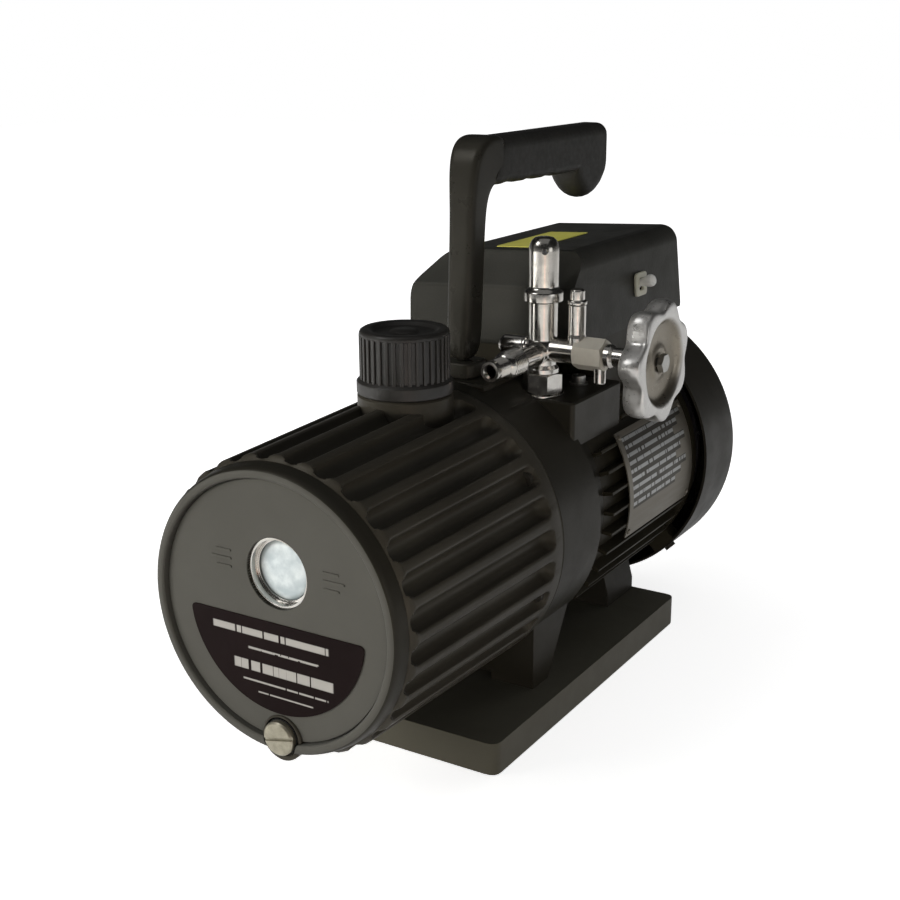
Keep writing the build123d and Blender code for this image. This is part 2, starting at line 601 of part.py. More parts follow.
def windings():
    """Two coil ends, one either side of the stator core."""
    front = turned_y([(46.0, 24.0), (50.0, 18.0), (59.0, 18.0), (63.0, 24.0), (63.0, 34.0), (46.0, 34.0)])
    rear = turned_y([(46.0, 96.0), (63.0, 96.0), (63.0, 108.0), (59.0, 114.0), (50.0, 114.0), (46.0, 108.0)])
    return [front, rear]


def front_shield():
    y0 = MOTOR_Y0
    disc = cyl_y(MOTOR_BORE, y0, y0 + 3.0) + cyl_y(26.0, y0 - 10.0, y0 + 3.0)
    disc += cyl_y(SPIGOT_R - 13.0, y0 - 6.0, y0)
    disc -= cyl_y(20.0, y0 - 9.0, y0 + 4.0)
    disc -= cyl_y(12.0, y0 - 11.0, y0)
    for k in range(6):
        disc -= around(cyl_y(7.0, y0 - 7.0, y0 + 4.0, 0, AXIS_Z + 42.0), k * 60)
    return disc


def end_bell():
    disc = cyl_y(MOTOR_BORE, MOTOR_Y1 - 6.0, MOTOR_Y1) + cyl_y(76.0, MOTOR_Y1, MOTOR_Y1 + 5.0)
    disc += cyl_y(26.0, MOTOR_Y1 - 6.0, MOTOR_Y1 + 12.0)
    for angle in (45, 135, 225, 315):
        lug = block(-8, 8, MOTOR_Y1, MOTOR_Y1 + 12.0, AXIS_Z + 66, AXIS_Z + COWL_R + 5)
        disc += around(lug & cyl_y(COWL_R - COWL_T, MOTOR_Y1, MOTOR_Y1 + 12.0), angle - 90)
    disc -= cyl_y(20.0, MOTOR_Y1 - 7.0, MOTOR_Y1 + 6.0)
    disc -= cyl_y(12.0, MOTOR_Y1, MOTOR_Y1 + 13.0)
    for angle in (45, 135, 225, 315):
        disc -= around(cyl_z(1.8, AXIS_Z + 76, AXIS_Z + 90, 0, MOTOR_Y1 + 6.0), angle - 90)
    return disc


def bearings():
    front = ring_y(20.0, SHAFT_R + RUN_FIT, MOTOR_Y0 - 9.0, MOTOR_Y0 + 3.0)
    rear = ring_y(20.0, SHAFT_R + RUN_FIT, MOTOR_Y1 - 6.0, MOTOR_Y1 + 6.0)
    return [front, rear]


def motor_shaft():
    return cyl_y(SHAFT_R, -9.0, 165.0)


def rotor_core():
    core = ring_y(44.0, SHAFT_R, 33.0, 97.0)
    return core + ring_y(40.0, 28.0, 28.0, 102.0)


def coupling():
    hub = ring_y(19.0, SHAFT_R, -14.0, -5.0)
    return hub + ring_y(19.0, PUMP_SHAFT_R, -23.5, -14.0)


def fan():
    hub = ring_y(22.0, SHAFT_R, 146.0, 166.0) + ring_y(72.0, SHAFT_R, 146.0, 148.0)
    blades = []
    for k in range(9):
        blade = Pos(0, 0, AXIS_Z + 47.0) * block(-1.0, 1.0, 147.0, 168.0, -26.0, 26.0)
        blades.append(around(blade, k * 40))
    return hub.fuse(*blades)


def fan_cowl():
    """Deep drawn cowl with rounded rear edge and a slotted rear face."""
    r, t, y0, y1 = COWL_R, COWL_T, MOTOR_Y1, COWL_Y1
    outer = [(0, y0), (r, y0), (r, y1 - 9), (r - 0.7, y1 - 5.6), (r - 2.6, y1 - 2.6),
             (r - 5.6, y1 - 0.7), (r - 9, y1), (0, y1)]
    inner = [(0, y0 - 1), (r - t, y0 - 1), (r - t, y1 - 9), (r - 0.7 - t, y1 - 6.0),
             (r - 2.6 - t, y1 - 3.4 - t / 2), (r - 6 - t, y1 - 0.7 - t), (r - 9, y1 - t), (0, y1 - t)]
    cowl = turned_y(outer) - turned_y(inner)
    slots = []
    for radius, count, length in ((24, 8, 12.0), (42, 14, 14.0), (60, 20, 14.0)):
        for k in range(count):
            slot = block(-length / 2, length / 2, y1 - 4, y1 + 2, AXIS_Z + radius - 4, AXIS_Z + radius + 4)
            slots.append(around(slot, k * 360 / count))
    cowl = cowl.cut(*slots)
    for angle in (45, 135, 225, 315):
        cowl -= around(cyl_z(2.0, AXIS_Z + 80, AXIS_Z + 90, 0, MOTOR_Y1 + 6.0), angle - 90)
    return cowl


def cowl_screws():
    screws = []
    for angle in (45, 135, 225, 315):
        screw = cyl_z(1.8, AXIS_Z + 77.0, AXIS_Z + COWL_R, 0, MOTOR_Y1 + 6.0)
        screw += cyl_z(3.6, AXIS_Z + COWL_R, AXIS_Z + COWL_R + 2.0, 0, MOTOR_Y1 + 6.0)
        screw -= block(-3, 3, MOTOR_Y1 + 5.5, MOTOR_Y1 + 6.5, AXIS_Z + COWL_R + 1.2, AXIS_Z + COWL_R + 3)
        screws.append(around(screw, angle - 90))
    return screws


PLATE_A0, PLATE_A1 = -15.0, 31.0
PLATE_Y0, PLATE_Y1 = 32.0, 122.0


def data_plate():
    """Curved plate on the fin tips of the right side, left without print."""
    shell = ring_y(FIN_R + 0.8, FIN_R + FIN_FIT, PLATE_Y0, PLATE_Y1)
    a0, a1 = math.radians(PLATE_A0), math.radians(PLATE_A1)
    reach = 120.0
    wedge = [(0, AXIS_Z), (reach * math.cos(a0), AXIS_Z + reach * math.sin(a0)),
             (reach * math.cos(a1), AXIS_Z + reach * math.sin(a1))]
    return shell & front_plate(wedge, PLATE_Y0, PLATE_Y1)


# ---- terminal box (drawn from the shaft axis, then rolled) ----------------------------
SWITCH_Y, SWITCH_Z = 101.0, 110.0
SWITCH_HALF = 7.5
PIVOT_IN = 2.6          # pivot of the lever behind the box side
SHOULDER = 11.0


def box_side(z):
    """Half width of the drafted side at a height above the shaft axis."""
    return BOX_HALF + BOX_DRAFT * (BOX_TOP - 14.0 - z)


def box_section(shrink):
    """Cross-section: drafted sides, a small right and a long soft left shoulder."""
    top = BOX_TOP - shrink
    side = BOX_HALF - shrink
    foot = box_side(BOX_FLOOR) - shrink
    right = [(foot, BOX_FLOOR), (side, top - SHOULDER)]
    for step in range(1, 6):
        a = math.radians(step * 15)
        right.append((side - SHOULDER * (1 - math.cos(a)), top - SHOULDER * (1 - math.sin(a))))
    right.append((side - SHOULDER, top))
    left = [(-side + 34.0, top), (-side + 22.0, top - 1.6), (-side + 9.0, top - 6.6),
            (-side + 2.0, top - 13.0), (-side, top - 19.0), (-foot, BOX_FLOOR)]
    return right + left


def box_profile(shrink):
    """Side view: drafted ends, the sloping brow at the front, a small rear radius."""
    y0, y1, top = BOX_Y0 + shrink, BOX_Y1 - shrink, BOX_TOP - shrink
    brow = BOX_BROW - shrink / 2
    lean = BOX_DRAFT * (BOX_BROW - BOX_FLOOR)
    return [(y0 - lean, BOX_FLOOR - 1), (y0, brow), (y0 + 11.0, brow + 12.0), (y0 + 16.0, top - 2.4),
            (y0 + 21.0, top), (y1 - 5.0, top), (y1 - 1.5, top - 1.5), (y1, top - 5.0), (y1 + 1.8, BOX_FLOOR - 1)]


def box_form(shrink):
    section = front_plate(box_section(shrink), BOX_Y0 - 10, BOX_Y1 + 10)
    return section & side_plate(box_profile(shrink), -80, 80)


def terminal_box():
    body = box_form(0.0) - Pos(0, 0, -0.02) * box_form(BOX_WALL)
    body -= block(-BOX_HALF + 1, BOX_HALF - 1, BOX_Y0 + 3, BOX_Y1 - 3, BOX_FLOOR - 1, BOX_FLOOR + 3.0)
    body -= block(40, 70, SWITCH_Y - 6.0, SWITCH_Y + 6.0, SWITCH_Z - 5.5, SWITCH_Z + 5.5)
    return on_box(body)


def box_tray():
    tray = block(-BOX_HALF + 1, BOX_HALF - 1, BOX_Y0 + 3, BOX_Y1 - 3, BOX_FLOOR, BOX_FLOOR + 3.0)
    return on_box(tray)


def box_sticker():
    return on_box(block(-8.0, 20.0, 41.0, 116.0, BOX_TOP, BOX_TOP + 0.4))


def along_y(r, x, half):
    """Short cylinder on the pivot line of the switch lever."""
    return Pos(x, SWITCH_Y, SWITCH_Z) * Rot(90, 0, 0) * Cylinder(r, 2 * half)


def switch_bezel():
    x = box_side(SWITCH_Z)
    plate = block(x + 0.3, x + 2.2, SWITCH_Y - SWITCH_HALF, SWITCH_Y + SWITCH_HALF, SWITCH_Z - 7.0, SWITCH_Z + 7.0)
    body = block(x - 16.0, x + 0.4, SWITCH_Y - 5.7, SWITCH_Y + 5.7, SWITCH_Z - 5.2, SWITCH_Z + 5.2)
    bezel = plate + body - along_y(3.6 + SEAT_GAP, x - PIVOT_IN, 3.0)
    throat = block(x - PIVOT_IN, x + 3.0, SWITCH_Y - 3.0, SWITCH_Y + 3.0, SWITCH_Z - 3.6, SWITCH_Z + 3.6)
    return on_box(bezel - throat)


def switch_lever():
    """Lever on a barrel pivot with a fat tip, shown tipped up."""
    x = box_side(SWITCH_Z) - PIVOT_IN
    lever = Rot(90, 0, 0) * Cylinder(3.6, 5.2)
    lever += Pos(5.5, 0, 0) * Rot(0, 90, 0) * Cone(1.5, 1.9, 8.0)
    lever += Pos(11.0, 0, 0) * Rot(0, 90, 0) * Cylinder(3.1, 5.2)
    lever = Rot(0, -12, 0) * lever
    return on_box(Pos(x, SWITCH_Y, SWITCH_Z) * lever)


def run_capacitor():
    z = BOX_FLOOR + 3.0 + 16.0
    can = Pos(-22.0, 92.0, z) * Rot(90, 0, 0) * Cylinder(16.0, 74.0)
    can = chamfer(can.edges(), 1.0)
    for x in (-27.0, -17.0):
        can += block(x - 0.5, x + 0.5, 46.0, 56.0, z - 3.0, z + 3.0)
    return on_box(can)


# ---- pump inside the oil casing ---------------------------------------------------------
STAGE_Y = {"stator_1": (-102.0, -56.1), "mid": (-108.0, -102.0), "stator_2": (-134.0, -108.0),
           "end": (-141.0, -134.0), "back": (-56.1, BAND_Y0)}


def pump_bolt_places():
    places = []
    for angle in (45, 135, 225, 315):
        a = math.radians(angle)
        places.append((38.0 * math.cos(a), AXIS_Z + 38.0 * math.sin(a)))
    return places


def pump_block(name, bore):
    """One slice of the pump block: a disc with an off-centre or plain bore."""
    y0, y1 = STAGE_Y[name]
    body = cyl_y(STATOR_R, y0, y1)
    if bore > ROTOR_R:
        body -= cyl_y(bore, y0 - 1, y1 + 1, 0, AXIS_Z + ECC)
    else:
        body -= cyl_y(bore, y0 - 1, y1 + 1)
    for x, z in pump_bolt_places():
        body -= cyl_y(2.7, y0 - 1, y1 + 1, x, z)
    return body


def pump_stator_1():
    body = pump_block("stator_1", PUMP_BORE)
    body -= cyl_z(4.0, AXIS_Z + 20, AXIS_Z + 50, 14.0, -80.0)
    return body


def pump_stator_2():
    body = pump_block("stator_2", PUMP_BORE)
    body += block(-16, 16, -128.0, -114.0, AXIS_Z + 40, AXIS_Z + 47.0)
    body -= cyl_z(3.0, AXIS_Z + 20, AXIS_Z + 50, -10.0, -121.0)
    return body


def exhaust_valve():
    """Reed and stop plate on top of the second stage."""
    z = AXIS_Z + 47.0
    plate = block(-15, 15, -127.0, -115.0, z, z + 1.6)
    plate += cyl_z(3.2, z, z + 5.0, 8.0, -121.0)
    return plate


def pump_bolts():
    return [screw_y(5.0, STAGE_Y["end"][0], 104.0, x, z) for x, z in pump_bolt_places()]


def pump_rotor(name, gap):
    y0, y1 = STAGE_Y[name]
    body = ring_y(ROTOR_R, PUMP_SHAFT_R, y0 + gap, y1 - gap)
    for angle in (0, 180):
        slot = block(-1.6, 1.6, y0, y1, AXIS_Z + 9.0, AXIS_Z + 24.0)
        body -= around(slot, angle)
    return body


def vanes(gap):
    """Four sliding blades, drawn pushed home in their slots."""
    blades = []
    for name in ("stator_1", "stator_2"):
        y0, y1 = STAGE_Y[name]
        for angle in (0, 180):
            blade = block(-1.5, 1.5, y0 + gap, y1 - gap, AXIS_Z + 11.0, AXIS_Z + ROTOR_R + 0.1)
            blades.append(around(blade, angle))
    return blades


def pump_shaft():
    return cyl_y(PUMP_SHAFT_R, -140.0, -14.0)


def shaft_bush():
    return ring_y(10.0, PUMP_SHAFT_R + RUN_FIT, -42.0, -26.0)


def shaft_seal():
    return ring_y(14.0, PUMP_SHAFT_R + RUN_FIT, BAND_Y0, -42.0)


# ---- write every piece --------------------------------------------------------------
def save(name, shape):
    """Write one node; a list becomes a group of separate solids."""
    if isinstance(shape, (list, tuple)):
        solids = []
        for piece in shape:
            solids += list(piece.solids())
        shape = Compound(children=solids)
    PARTS[name] = shape
    export_step(shape, os.path.join("parts", name + ".step"))


save("base_plate", base_plate())
save("base_screws", base_screws())
save("rear_foot", rear_foot())
save("centre_bracket", centre_bracket())
save("boss_screw", boss_screw())
save("oil_casing", oil_casing())
save("casing_gasket", casing_gasket())
save("casing_screws", casing_screws())
save("front_label", front_label())
save("sight_bezel", sight_bezel())
save("sight_glass", sight_glass())
save("sight_oring", sight_oring())
save("drain_plug", drain_plug())
save("drain_washer", drain_washer())
save("oil_fill_cap", oil_fill_cap())
save("cap_seal", cap_seal())
save("handle_frame", handle_frame())
save("handle_screws", handle_screws())
save("handle_grip", handle_grip())
save("manifold_body", manifold_body())
save("flare_branch", flare_branch())
save("manifold_nut", manifold_nut())
save("port_cap_top", port_cap_top())
save("port_cap_left", port_cap_left())
save("port_cap_small", port_cap_small())
save("valve_bonnet", valve_bonnet())
save("valve_stem", valve_stem())
save("valve_disc", valve_disc())
save("handwheel", handwheel())
save("wheel_nut", wheel_nut())
save("motor_housing", motor_housing())
save("stator_core", stator_core())
save("windings", windings())
save("front_shield", front_shield())
save("end_bell", end_bell())
save("bearings", bearings())
save("motor_shaft", motor_shaft())
save("rotor_core", rotor_core())
save("coupling", coupling())
save("fan", fan())
save("fan_cowl", fan_cowl())
save("cowl_screws", cowl_screws())
save("data_plate", data_plate())
save("terminal_box", terminal_box())
save("box_tray", box_tray())
save("box_sticker", box_sticker())
save("switch_bezel", switch_bezel())
save("switch_lever", switch_lever())
save("run_capacitor", run_capacitor())
save("pump_stator_1", pump_stator_1())
save("pump_stator_2", pump_stator_2())
save("pump_plates", [pump_block(name, PUMP_SHAFT_R + RUN_FIT) for name in ("back", "mid", "end")])
save("pump_bolts", pump_bolts())
save("exhaust_valve", exhaust_valve())
save("pump_rotors", [pump_rotor("stator_1", 0.3), pump_rotor("stator_2", 0.3)])
save("vanes", vanes(0.35))
save("pump_shaft", pump_shaft())
save("shaft_bush", shaft_bush())
save("shaft_seal", shaft_seal())
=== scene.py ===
import bmesh
import bpy
import json
import math
from mathutils import Matrix, Vector

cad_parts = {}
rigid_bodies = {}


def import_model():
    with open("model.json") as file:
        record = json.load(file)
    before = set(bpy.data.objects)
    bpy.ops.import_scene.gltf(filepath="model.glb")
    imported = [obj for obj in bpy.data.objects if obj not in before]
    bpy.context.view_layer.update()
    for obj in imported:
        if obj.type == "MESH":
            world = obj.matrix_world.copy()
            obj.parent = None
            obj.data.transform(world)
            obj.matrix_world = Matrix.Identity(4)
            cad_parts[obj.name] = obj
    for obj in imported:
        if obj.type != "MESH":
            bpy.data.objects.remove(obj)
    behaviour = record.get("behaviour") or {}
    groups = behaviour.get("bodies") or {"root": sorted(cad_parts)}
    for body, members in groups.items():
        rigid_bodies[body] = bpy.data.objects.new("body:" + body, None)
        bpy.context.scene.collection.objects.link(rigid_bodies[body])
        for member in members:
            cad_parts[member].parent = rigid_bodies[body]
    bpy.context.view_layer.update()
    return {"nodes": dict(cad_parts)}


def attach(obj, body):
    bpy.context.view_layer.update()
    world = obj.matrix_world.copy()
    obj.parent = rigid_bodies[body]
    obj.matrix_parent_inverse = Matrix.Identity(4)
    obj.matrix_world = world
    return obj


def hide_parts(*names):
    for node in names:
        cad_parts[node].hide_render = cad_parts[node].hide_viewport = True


for leftover in list(bpy.data.objects):
    bpy.data.objects.remove(leftover)
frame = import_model()

# ---- base plate ----
# Flat cast plate that everything stands on: rounded corners, a softly rolled top
# edge, and two pairs of pockets below that leave a rim and a rib to stand on.
MM = 0.001
AXIS_Z = 102
SHAFT = (0, 0, AXIS_Z)
BASE_W, BASE_L, BASE_H = 148, 225.4, 17.5
BASE_RIM, BASE_SKIN, BASE_RIB = 6, 5, 8


def maths(operation, flipped=False):
    """Method that adds one Math node; flipped when the socket stands on the right."""
    def apply(self, other):
        return self.graph.math(operation, *((other, self) if flipped else (self, other)))
    return apply


class Sock:
    """One output socket of a node tree; arithmetic on it adds Math nodes."""

    def __init__(self, graph, socket):
        self.graph, self.socket = graph, socket

    __add__, __mul__ = maths("ADD"), maths("MULTIPLY")
    __radd__, __rmul__ = maths("ADD", True), maths("MULTIPLY", True)
    __sub__, __rsub__ = maths("SUBTRACT"), maths("SUBTRACT", True)
    __truediv__, __pow__ = maths("DIVIDE"), maths("POWER")


class Graph:
    """A node tree of either kind, with one way to add any node."""

    def __init__(self, tree):
        self.tree = tree
        tree.nodes.clear()

    def feed(self, socket, value):
        if isinstance(value, Sock):
            self.tree.links.new(value.socket, socket)
        else:
            socket.default_value = value

    def add(self, kind, settings=(), values=(), out=0):
        node = self.tree.nodes.new(kind)
        for key, value in dict(settings).items():
            setattr(node, key, value)
        for key, value in dict(values).items():
            self.feed(node.inputs[key], value)
        return Sock(self, node.outputs[out]) if node.outputs else node

    def math(self, operation, *values):
        return self.add("ShaderNodeMath", {"operation": operation}, enumerate(values))

    def most(self, a, b):
        return self.math("MAXIMUM", a, b)

    def split(self, vector):
        node = self.tree.nodes.new("ShaderNodeSeparateXYZ")
        self.feed(node.inputs[0], vector)
        return [Sock(self, socket) for socket in node.outputs]

    def span(self, value, low, high, first=0, last=1):
        """Smooth step of a value between two limits."""
        values = {"Value": value, "From Min": low, "From Max": high, "To Min": first, "To Max": last}
        return self.add("ShaderNodeMapRange", {"interpolation_type": "SMOOTHSTEP"}, values)


class Finish(Graph):
    """A material on one Principled shader, worked out from object coordinates."""

    def __init__(self, name, slot=None, **constants):
        self.slot = slot
        self.material = bpy.data.materials.new(name)
        self.material.use_nodes = True
        super().__init__(self.material.node_tree)
        self.place = self.add("ShaderNodeTexCoord", out=3)
        self.shader = self.tree.nodes.new("ShaderNodeBsdfPrincipled")
        output = self.tree.nodes.new("ShaderNodeOutputMaterial")
        self.tree.links.new(self.shader.outputs[0], output.inputs[0])
        for key, value in constants.items():
            self.set(key, value)

    def set(self, key, value):
        self.feed(self.shader.inputs[key.replace("_", " ")], value)

    def noise(self, scale, detail=2, rough=0.5, vector=None):
        values = {"Vector": vector or self.place, "Scale": scale, "Detail": detail, "Roughness": rough}
        return self.add("ShaderNodeTexNoise", {}, values)

    def stretched(self, x, y, z):
        return self.add("ShaderNodeVectorMath", {"operation": "MULTIPLY"}, {0: self.place, 1: (x, y, z)})

    def mix(self, factor, a, b):
        values = {0: factor, 6: colour(a), 7: colour(b)}
        return self.add("ShaderNodeMix", {"data_type": "RGBA"}, values, out=2)

    def paint(self, tone, first, last, wear, low, high, rough):
        """Two colours that follow a tone, and a roughness that follows the wear."""
        self.set("Base Color", self.mix(tone, first, last))
        self.set("Roughness", self.span(wear, low, high, *rough))

    def bump(self, height, distance):
        """Raise the surface by a height of 0 to 1 times a distance in metres."""
        values = {"Height": height, "Distance": distance, "Strength": 1}
        self.set("Normal", self.add("ShaderNodeBump", {}, values))


def colour(value):
    return value if isinstance(value, Sock) else (*value, 1)


def enamel(name, slot, dark, light, rough, grain=0.00006, size=1500):
    """Satin enamel over a casting: fine cast grain, soft tone drift, thin coat."""
    f = Finish(name, slot, Specular_IOR_Level=0.22, Specular_Tint=(1, 0.95, 0.84, 1))
    drift = f.span(f.noise(14, 3), 0.3, 0.7)
    speck = f.noise(size, 3, 0.6)
    wear = f.noise(60, 4, 0.6)
    f.paint(drift * 0.7 + speck * 0.3, dark, light, wear, 0.25, 0.75, (rough - 0.05, rough + 0.06))
    f.bump(speck * 0.7 + f.noise(size * 0.28, 2) * 0.3, grain)
    return f


def mottled(name, slot, tone, first, last, rough, wear=None, band=(0.2, 0.8), clear=None, grain=0, pits=None,
            **constants):
    """Finish that drifts between two colours with noise; wear and pits are its other noises."""
    f = Finish(name, slot, **constants)
    drift = f.noise(*tone)
    shade = f.span(drift, *clear) if clear else drift
    f.paint(shade, first, last, f.noise(*wear) if wear else drift, *band, rough)
    if grain:
        f.bump(f.noise(*pits) if pits else drift, grain)
    return f


def at(axis, centre, u, v, w):
    """Point in metres: w along the axis, u and v across it, in millimetres."""
    order = {"X": (w, u, v), "Y": (u, w, v), "Z": (u, v, w)}[axis]
    return Vector([(a + b) * MM for a, b in zip(order, centre)])


def rounded(points, radius, steps=3, closed=True):
    """Round the corners of an outline, as far as its edges leave room."""
    result = []
    for i, raw in enumerate(points):
        here = Vector(raw)
        before = Vector(points[i - 1]) - here
        after = Vector(points[(i + 1) % len(points)]) - here
        ends = not closed and i in (0, len(points) - 1)
        if ends or before.length < 1e-6 or after.length < 1e-6:
            result.append(here)
            continue
        turn = before.angle(after)
        if turn > 3.05:
            result.append(here)
            continue
        reach = min(radius / math.tan(turn / 2), 0.45 * before.length, 0.45 * after.length)
        start = here + before.normalized() * reach
        stop = here + after.normalized() * reach
        for k in range(steps + 1):
            t = k / steps
            result.append(start * (1 - t) ** 2 + here * 2 * t * (1 - t) + stop * t ** 2)
    return result


def bridge(mesh, low, high):
    """Faces between two rings of equal count, or from a ring to one point."""
    count = max(len(low), len(high))
    for k in range(count):
        n = (k + 1) % count
        corners = [low[k % len(low)], low[n % len(low)], high[n % len(high)], high[k % len(high)]]
        unique = list(dict.fromkeys(corners))
        if len(unique) > 2:
            mesh.faces.new(unique)


def skin(sections, closed=False, capped=False):
    """Mesh through rings of points in metres; a ring of one point is a pole."""
    mesh = bmesh.new()
    rings = [[mesh.verts.new(point) for point in section] for section in sections]
    for low, high in zip(rings, rings[1:] + (rings[:1] if closed else [])):
        bridge(mesh, low, high)
    for end in (rings[0], rings[-1]) if capped else ():
        mesh.faces.new(end)
    return mesh


def around(axis, centre, radius, height, steps):
    """Ring of points about an axis, or one point on it."""
    turns = [2 * math.pi * k / steps for k in range(steps if radius > 1e-4 else 1)]
    return [at(axis, centre, radius * math.cos(a), radius * math.sin(a), height) for a in turns]


def lathe(profile, axis, centre=(0, 0, 0), steps=96, closed=False, corner=0):
    """Turn (radius, height) points about an axis through a centre."""
    if corner:
        profile = rounded(profile, corner, closed=closed)
    return skin([around(axis, centre, radius, height, steps) for radius, height in profile], closed)


def prism(outline, axis, low, high, centre=(0, 0, 0)):
    """Straight solid with an outline across the axis."""
    return skin([[at(axis, centre, u, v, w) for u, v in outline] for w in (low, high)], capped=True)


def rectangle(u0, u1, v0, v1, radius=0, steps=4):
    corners = [(u0, v0), (u1, v0), (u1, v1), (u0, v1)]
    return rounded(corners, radius, steps) if radius else corners


def box(x0, x1, y0, y1, z0, z1, radius=0, axis="Z"):
    """Block between six planes, with the edges along one axis rounded."""
    u0, u1, v0, v1, low, high = {"X": (y0, y1, z0, z1, x0, x1), "Y": (x0, x1, z0, z1, y0, y1),
                                 "Z": (x0, x1, y0, y1, z0, z1)}[axis]
    return prism(rectangle(u0, u1, v0, v1, radius), axis, low, high)


def rod(radius, low, high, axis, centre, steps=48, corner=0):
    return lathe([(0, low), (radius, low), (radius, high), (0, high)], axis, centre, steps, corner=corner)


def turned(mesh, angle, axis="Y", centre=SHAFT):
    """Turn a mesh about a line through a centre by an angle in degrees."""
    pivot = Vector(centre) * MM
    spin = Matrix.Rotation(math.radians(angle), 4, axis)
    spin = Matrix.Translation(pivot) @ spin @ Matrix.Translation(-pivot)
    bmesh.ops.transform(mesh, matrix=spin, verts=mesh.verts)
    return mesh


def joined(meshes):
    """One mesh from several, each left as its own closed shell."""
    whole = bpy.data.meshes.new("joined")
    total = bmesh.new()
    for mesh in meshes:
        bmesh.ops.recalc_face_normals(mesh, faces=mesh.faces)
        mesh.to_mesh(whole)
        total.from_mesh(whole)
        mesh.free()
    bpy.data.meshes.remove(whole)
    return total


def shown(name, mesh):
    """Scene object from a bmesh, with its faces turned outwards."""
    data = bpy.data.meshes.new(name)
    bmesh.ops.recalc_face_normals(mesh, faces=mesh.faces)
    mesh.to_mesh(data)
    mesh.free()
    thing = bpy.data.objects.new(name, data)
    bpy.context.scene.collection.objects.link(thing)
    return thing


def bake(thing):
    """Replace a piece's mesh by what its modifiers make of it."""
    view = bpy.context.evaluated_depsgraph_get()
    data = bpy.data.meshes.new_from_object(thing.evaluated_get(view))
    thing.modifiers.clear()
    thing.data = data
    return thing


def carve(thing, cutters, operation="DIFFERENCE"):
    """Cut shapes out of a piece, or keep only what lies inside them."""
    tools = [tool if isinstance(tool, bpy.types.Object) else shown("cutter", tool) for tool in cutters]
    for tool in tools:
        change = thing.modifiers.new("cut", "BOOLEAN")
        change.operation, change.object, change.solver = operation, tool, "EXACT"
    bake(thing)
    for tool in tools:
        bpy.data.objects.remove(tool)
    return thing


def common(first, second):
    """Mesh of what two shapes share."""
    thing = carve(shown("common", first), [second], "INTERSECT")
    mesh = bmesh.new()
    mesh.from_mesh(thing.data)
    bpy.data.objects.remove(thing)
    return mesh


def smoothed(thing, levels):
    """Rounded by subdivision, to the same level in view and render."""
    change = thing.modifiers.new("smooth", "SUBSURF")
    change.levels = change.render_levels = levels
    return bake(thing)


def finish_piece(thing, finish, nodes=(), bevel=0, angle=38, segments=2, body="frame"):
    """Round the sharp edges, shade, paint and tie a piece to the frame."""
    if bevel:
        edge = thing.modifiers.new("edges", "BEVEL")
        edge.width, edge.segments = bevel * MM, segments
        edge.limit_method, edge.angle_limit = "ANGLE", math.radians(32)
        bake(thing)
    thing.data.polygons.foreach_set("use_smooth", [True] * len(thing.data.polygons))
    thing.data.set_sharp_from_angle(angle=math.radians(angle))
    even = thing.modifiers.new("even", "WEIGHTED_NORMAL")
    even.keep_sharp = True
    bake(thing)
    thing.data.materials.clear()
    thing.data.materials.append(finish.material)
    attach(thing, body)
    if nodes:
        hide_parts(*nodes)
    return thing


def piece(name, meshes, finish, nodes=(), cut=(), bevel=0, angle=38, segments=2, body="frame"):
    """A finished piece from closed shells, with shapes cut out of it first."""
    thing = shown(name, joined(meshes if isinstance(meshes, list) else [meshes]))
    if cut:
        carve(thing, cut)
    return finish_piece(thing, finish, nodes, bevel, angle, segments, body)


def repaint(finish, *nodes):
    """Give CAD nodes that stay in view a finish of their own."""
    for node in nodes:
        data = frame["nodes"][node].data
        data.materials.clear()
        data.materials.append(finish.material)


def softened(name, node, finish, width):
    """A casting with the CAD node's form, welded and with its edges rounded."""
    mesh = bmesh.new()
    mesh.from_mesh(frame["nodes"][node].data)
    bmesh.ops.remove_doubles(mesh, verts=mesh.verts, dist=0.002 * MM)
    bmesh.ops.dissolve_limit(mesh, angle_limit=math.radians(1), verts=mesh.verts, edges=mesh.edges)
    return finish_piece(shown(name, mesh), finish, [node], width)


BASE_ENAMEL = enamel("base_enamel", "base_paint", (0.076, 0.072, 0.056), (0.096, 0.092, 0.074), 0.42)
plate = box(-BASE_W / 2, BASE_W / 2, -BASE_L / 2, BASE_L / 2, 0, BASE_H, 6)
pockets = []
for y0, y1 in ((-BASE_L / 2 + BASE_RIM, -52), (-24, 66)):
    for side in (-1, 1):
        x0, x1 = sorted((side * BASE_RIB, side * (BASE_W / 2 - BASE_RIM)))
        pockets.append(box(x0, x1, y0, y1, -1, BASE_H - BASE_SKIN, 5))
piece("base_casting", plate, BASE_ENAMEL, ["base_plate"], pockets, 1.6, segments=3)

ZINC = mottled("zinc_steel", "zinc_steel", (900, 3), (0.42, 0.42, 0.4), (0.62, 0.61, 0.58), (0.26, 0.42),
               wear=(300, 3), grain=0.00001, Metallic=1)
repaint(ZINC, "base_screws")

# ---- rear foot ----
# Low cast saddle under the fins near the fan end; two screws hold it to the base.
FOOT_ENAMEL = enamel("foot_enamel", "motor_paint", (0.014, 0.013, 0.011), (0.024, 0.023, 0.02), 0.46)
softened("rear_saddle", "rear_foot", FOOT_ENAMEL, 0.8)

# ---- centre bracket ----
# The main casting between pump and motor: a round band that the oil casing bolts
# to, legs down to the base, a deck for the handle and the boss of the manifold.
PAINT = "satin_black_paint"
CAST_ENAMEL = enamel("cast_enamel", PAINT, (0.015, 0.014, 0.011), (0.025, 0.023, 0.018), 0.36)
softened("bracket_casting", "centre_bracket", CAST_ENAMEL, 0.7)
repaint(ZINC, "boss_screw")

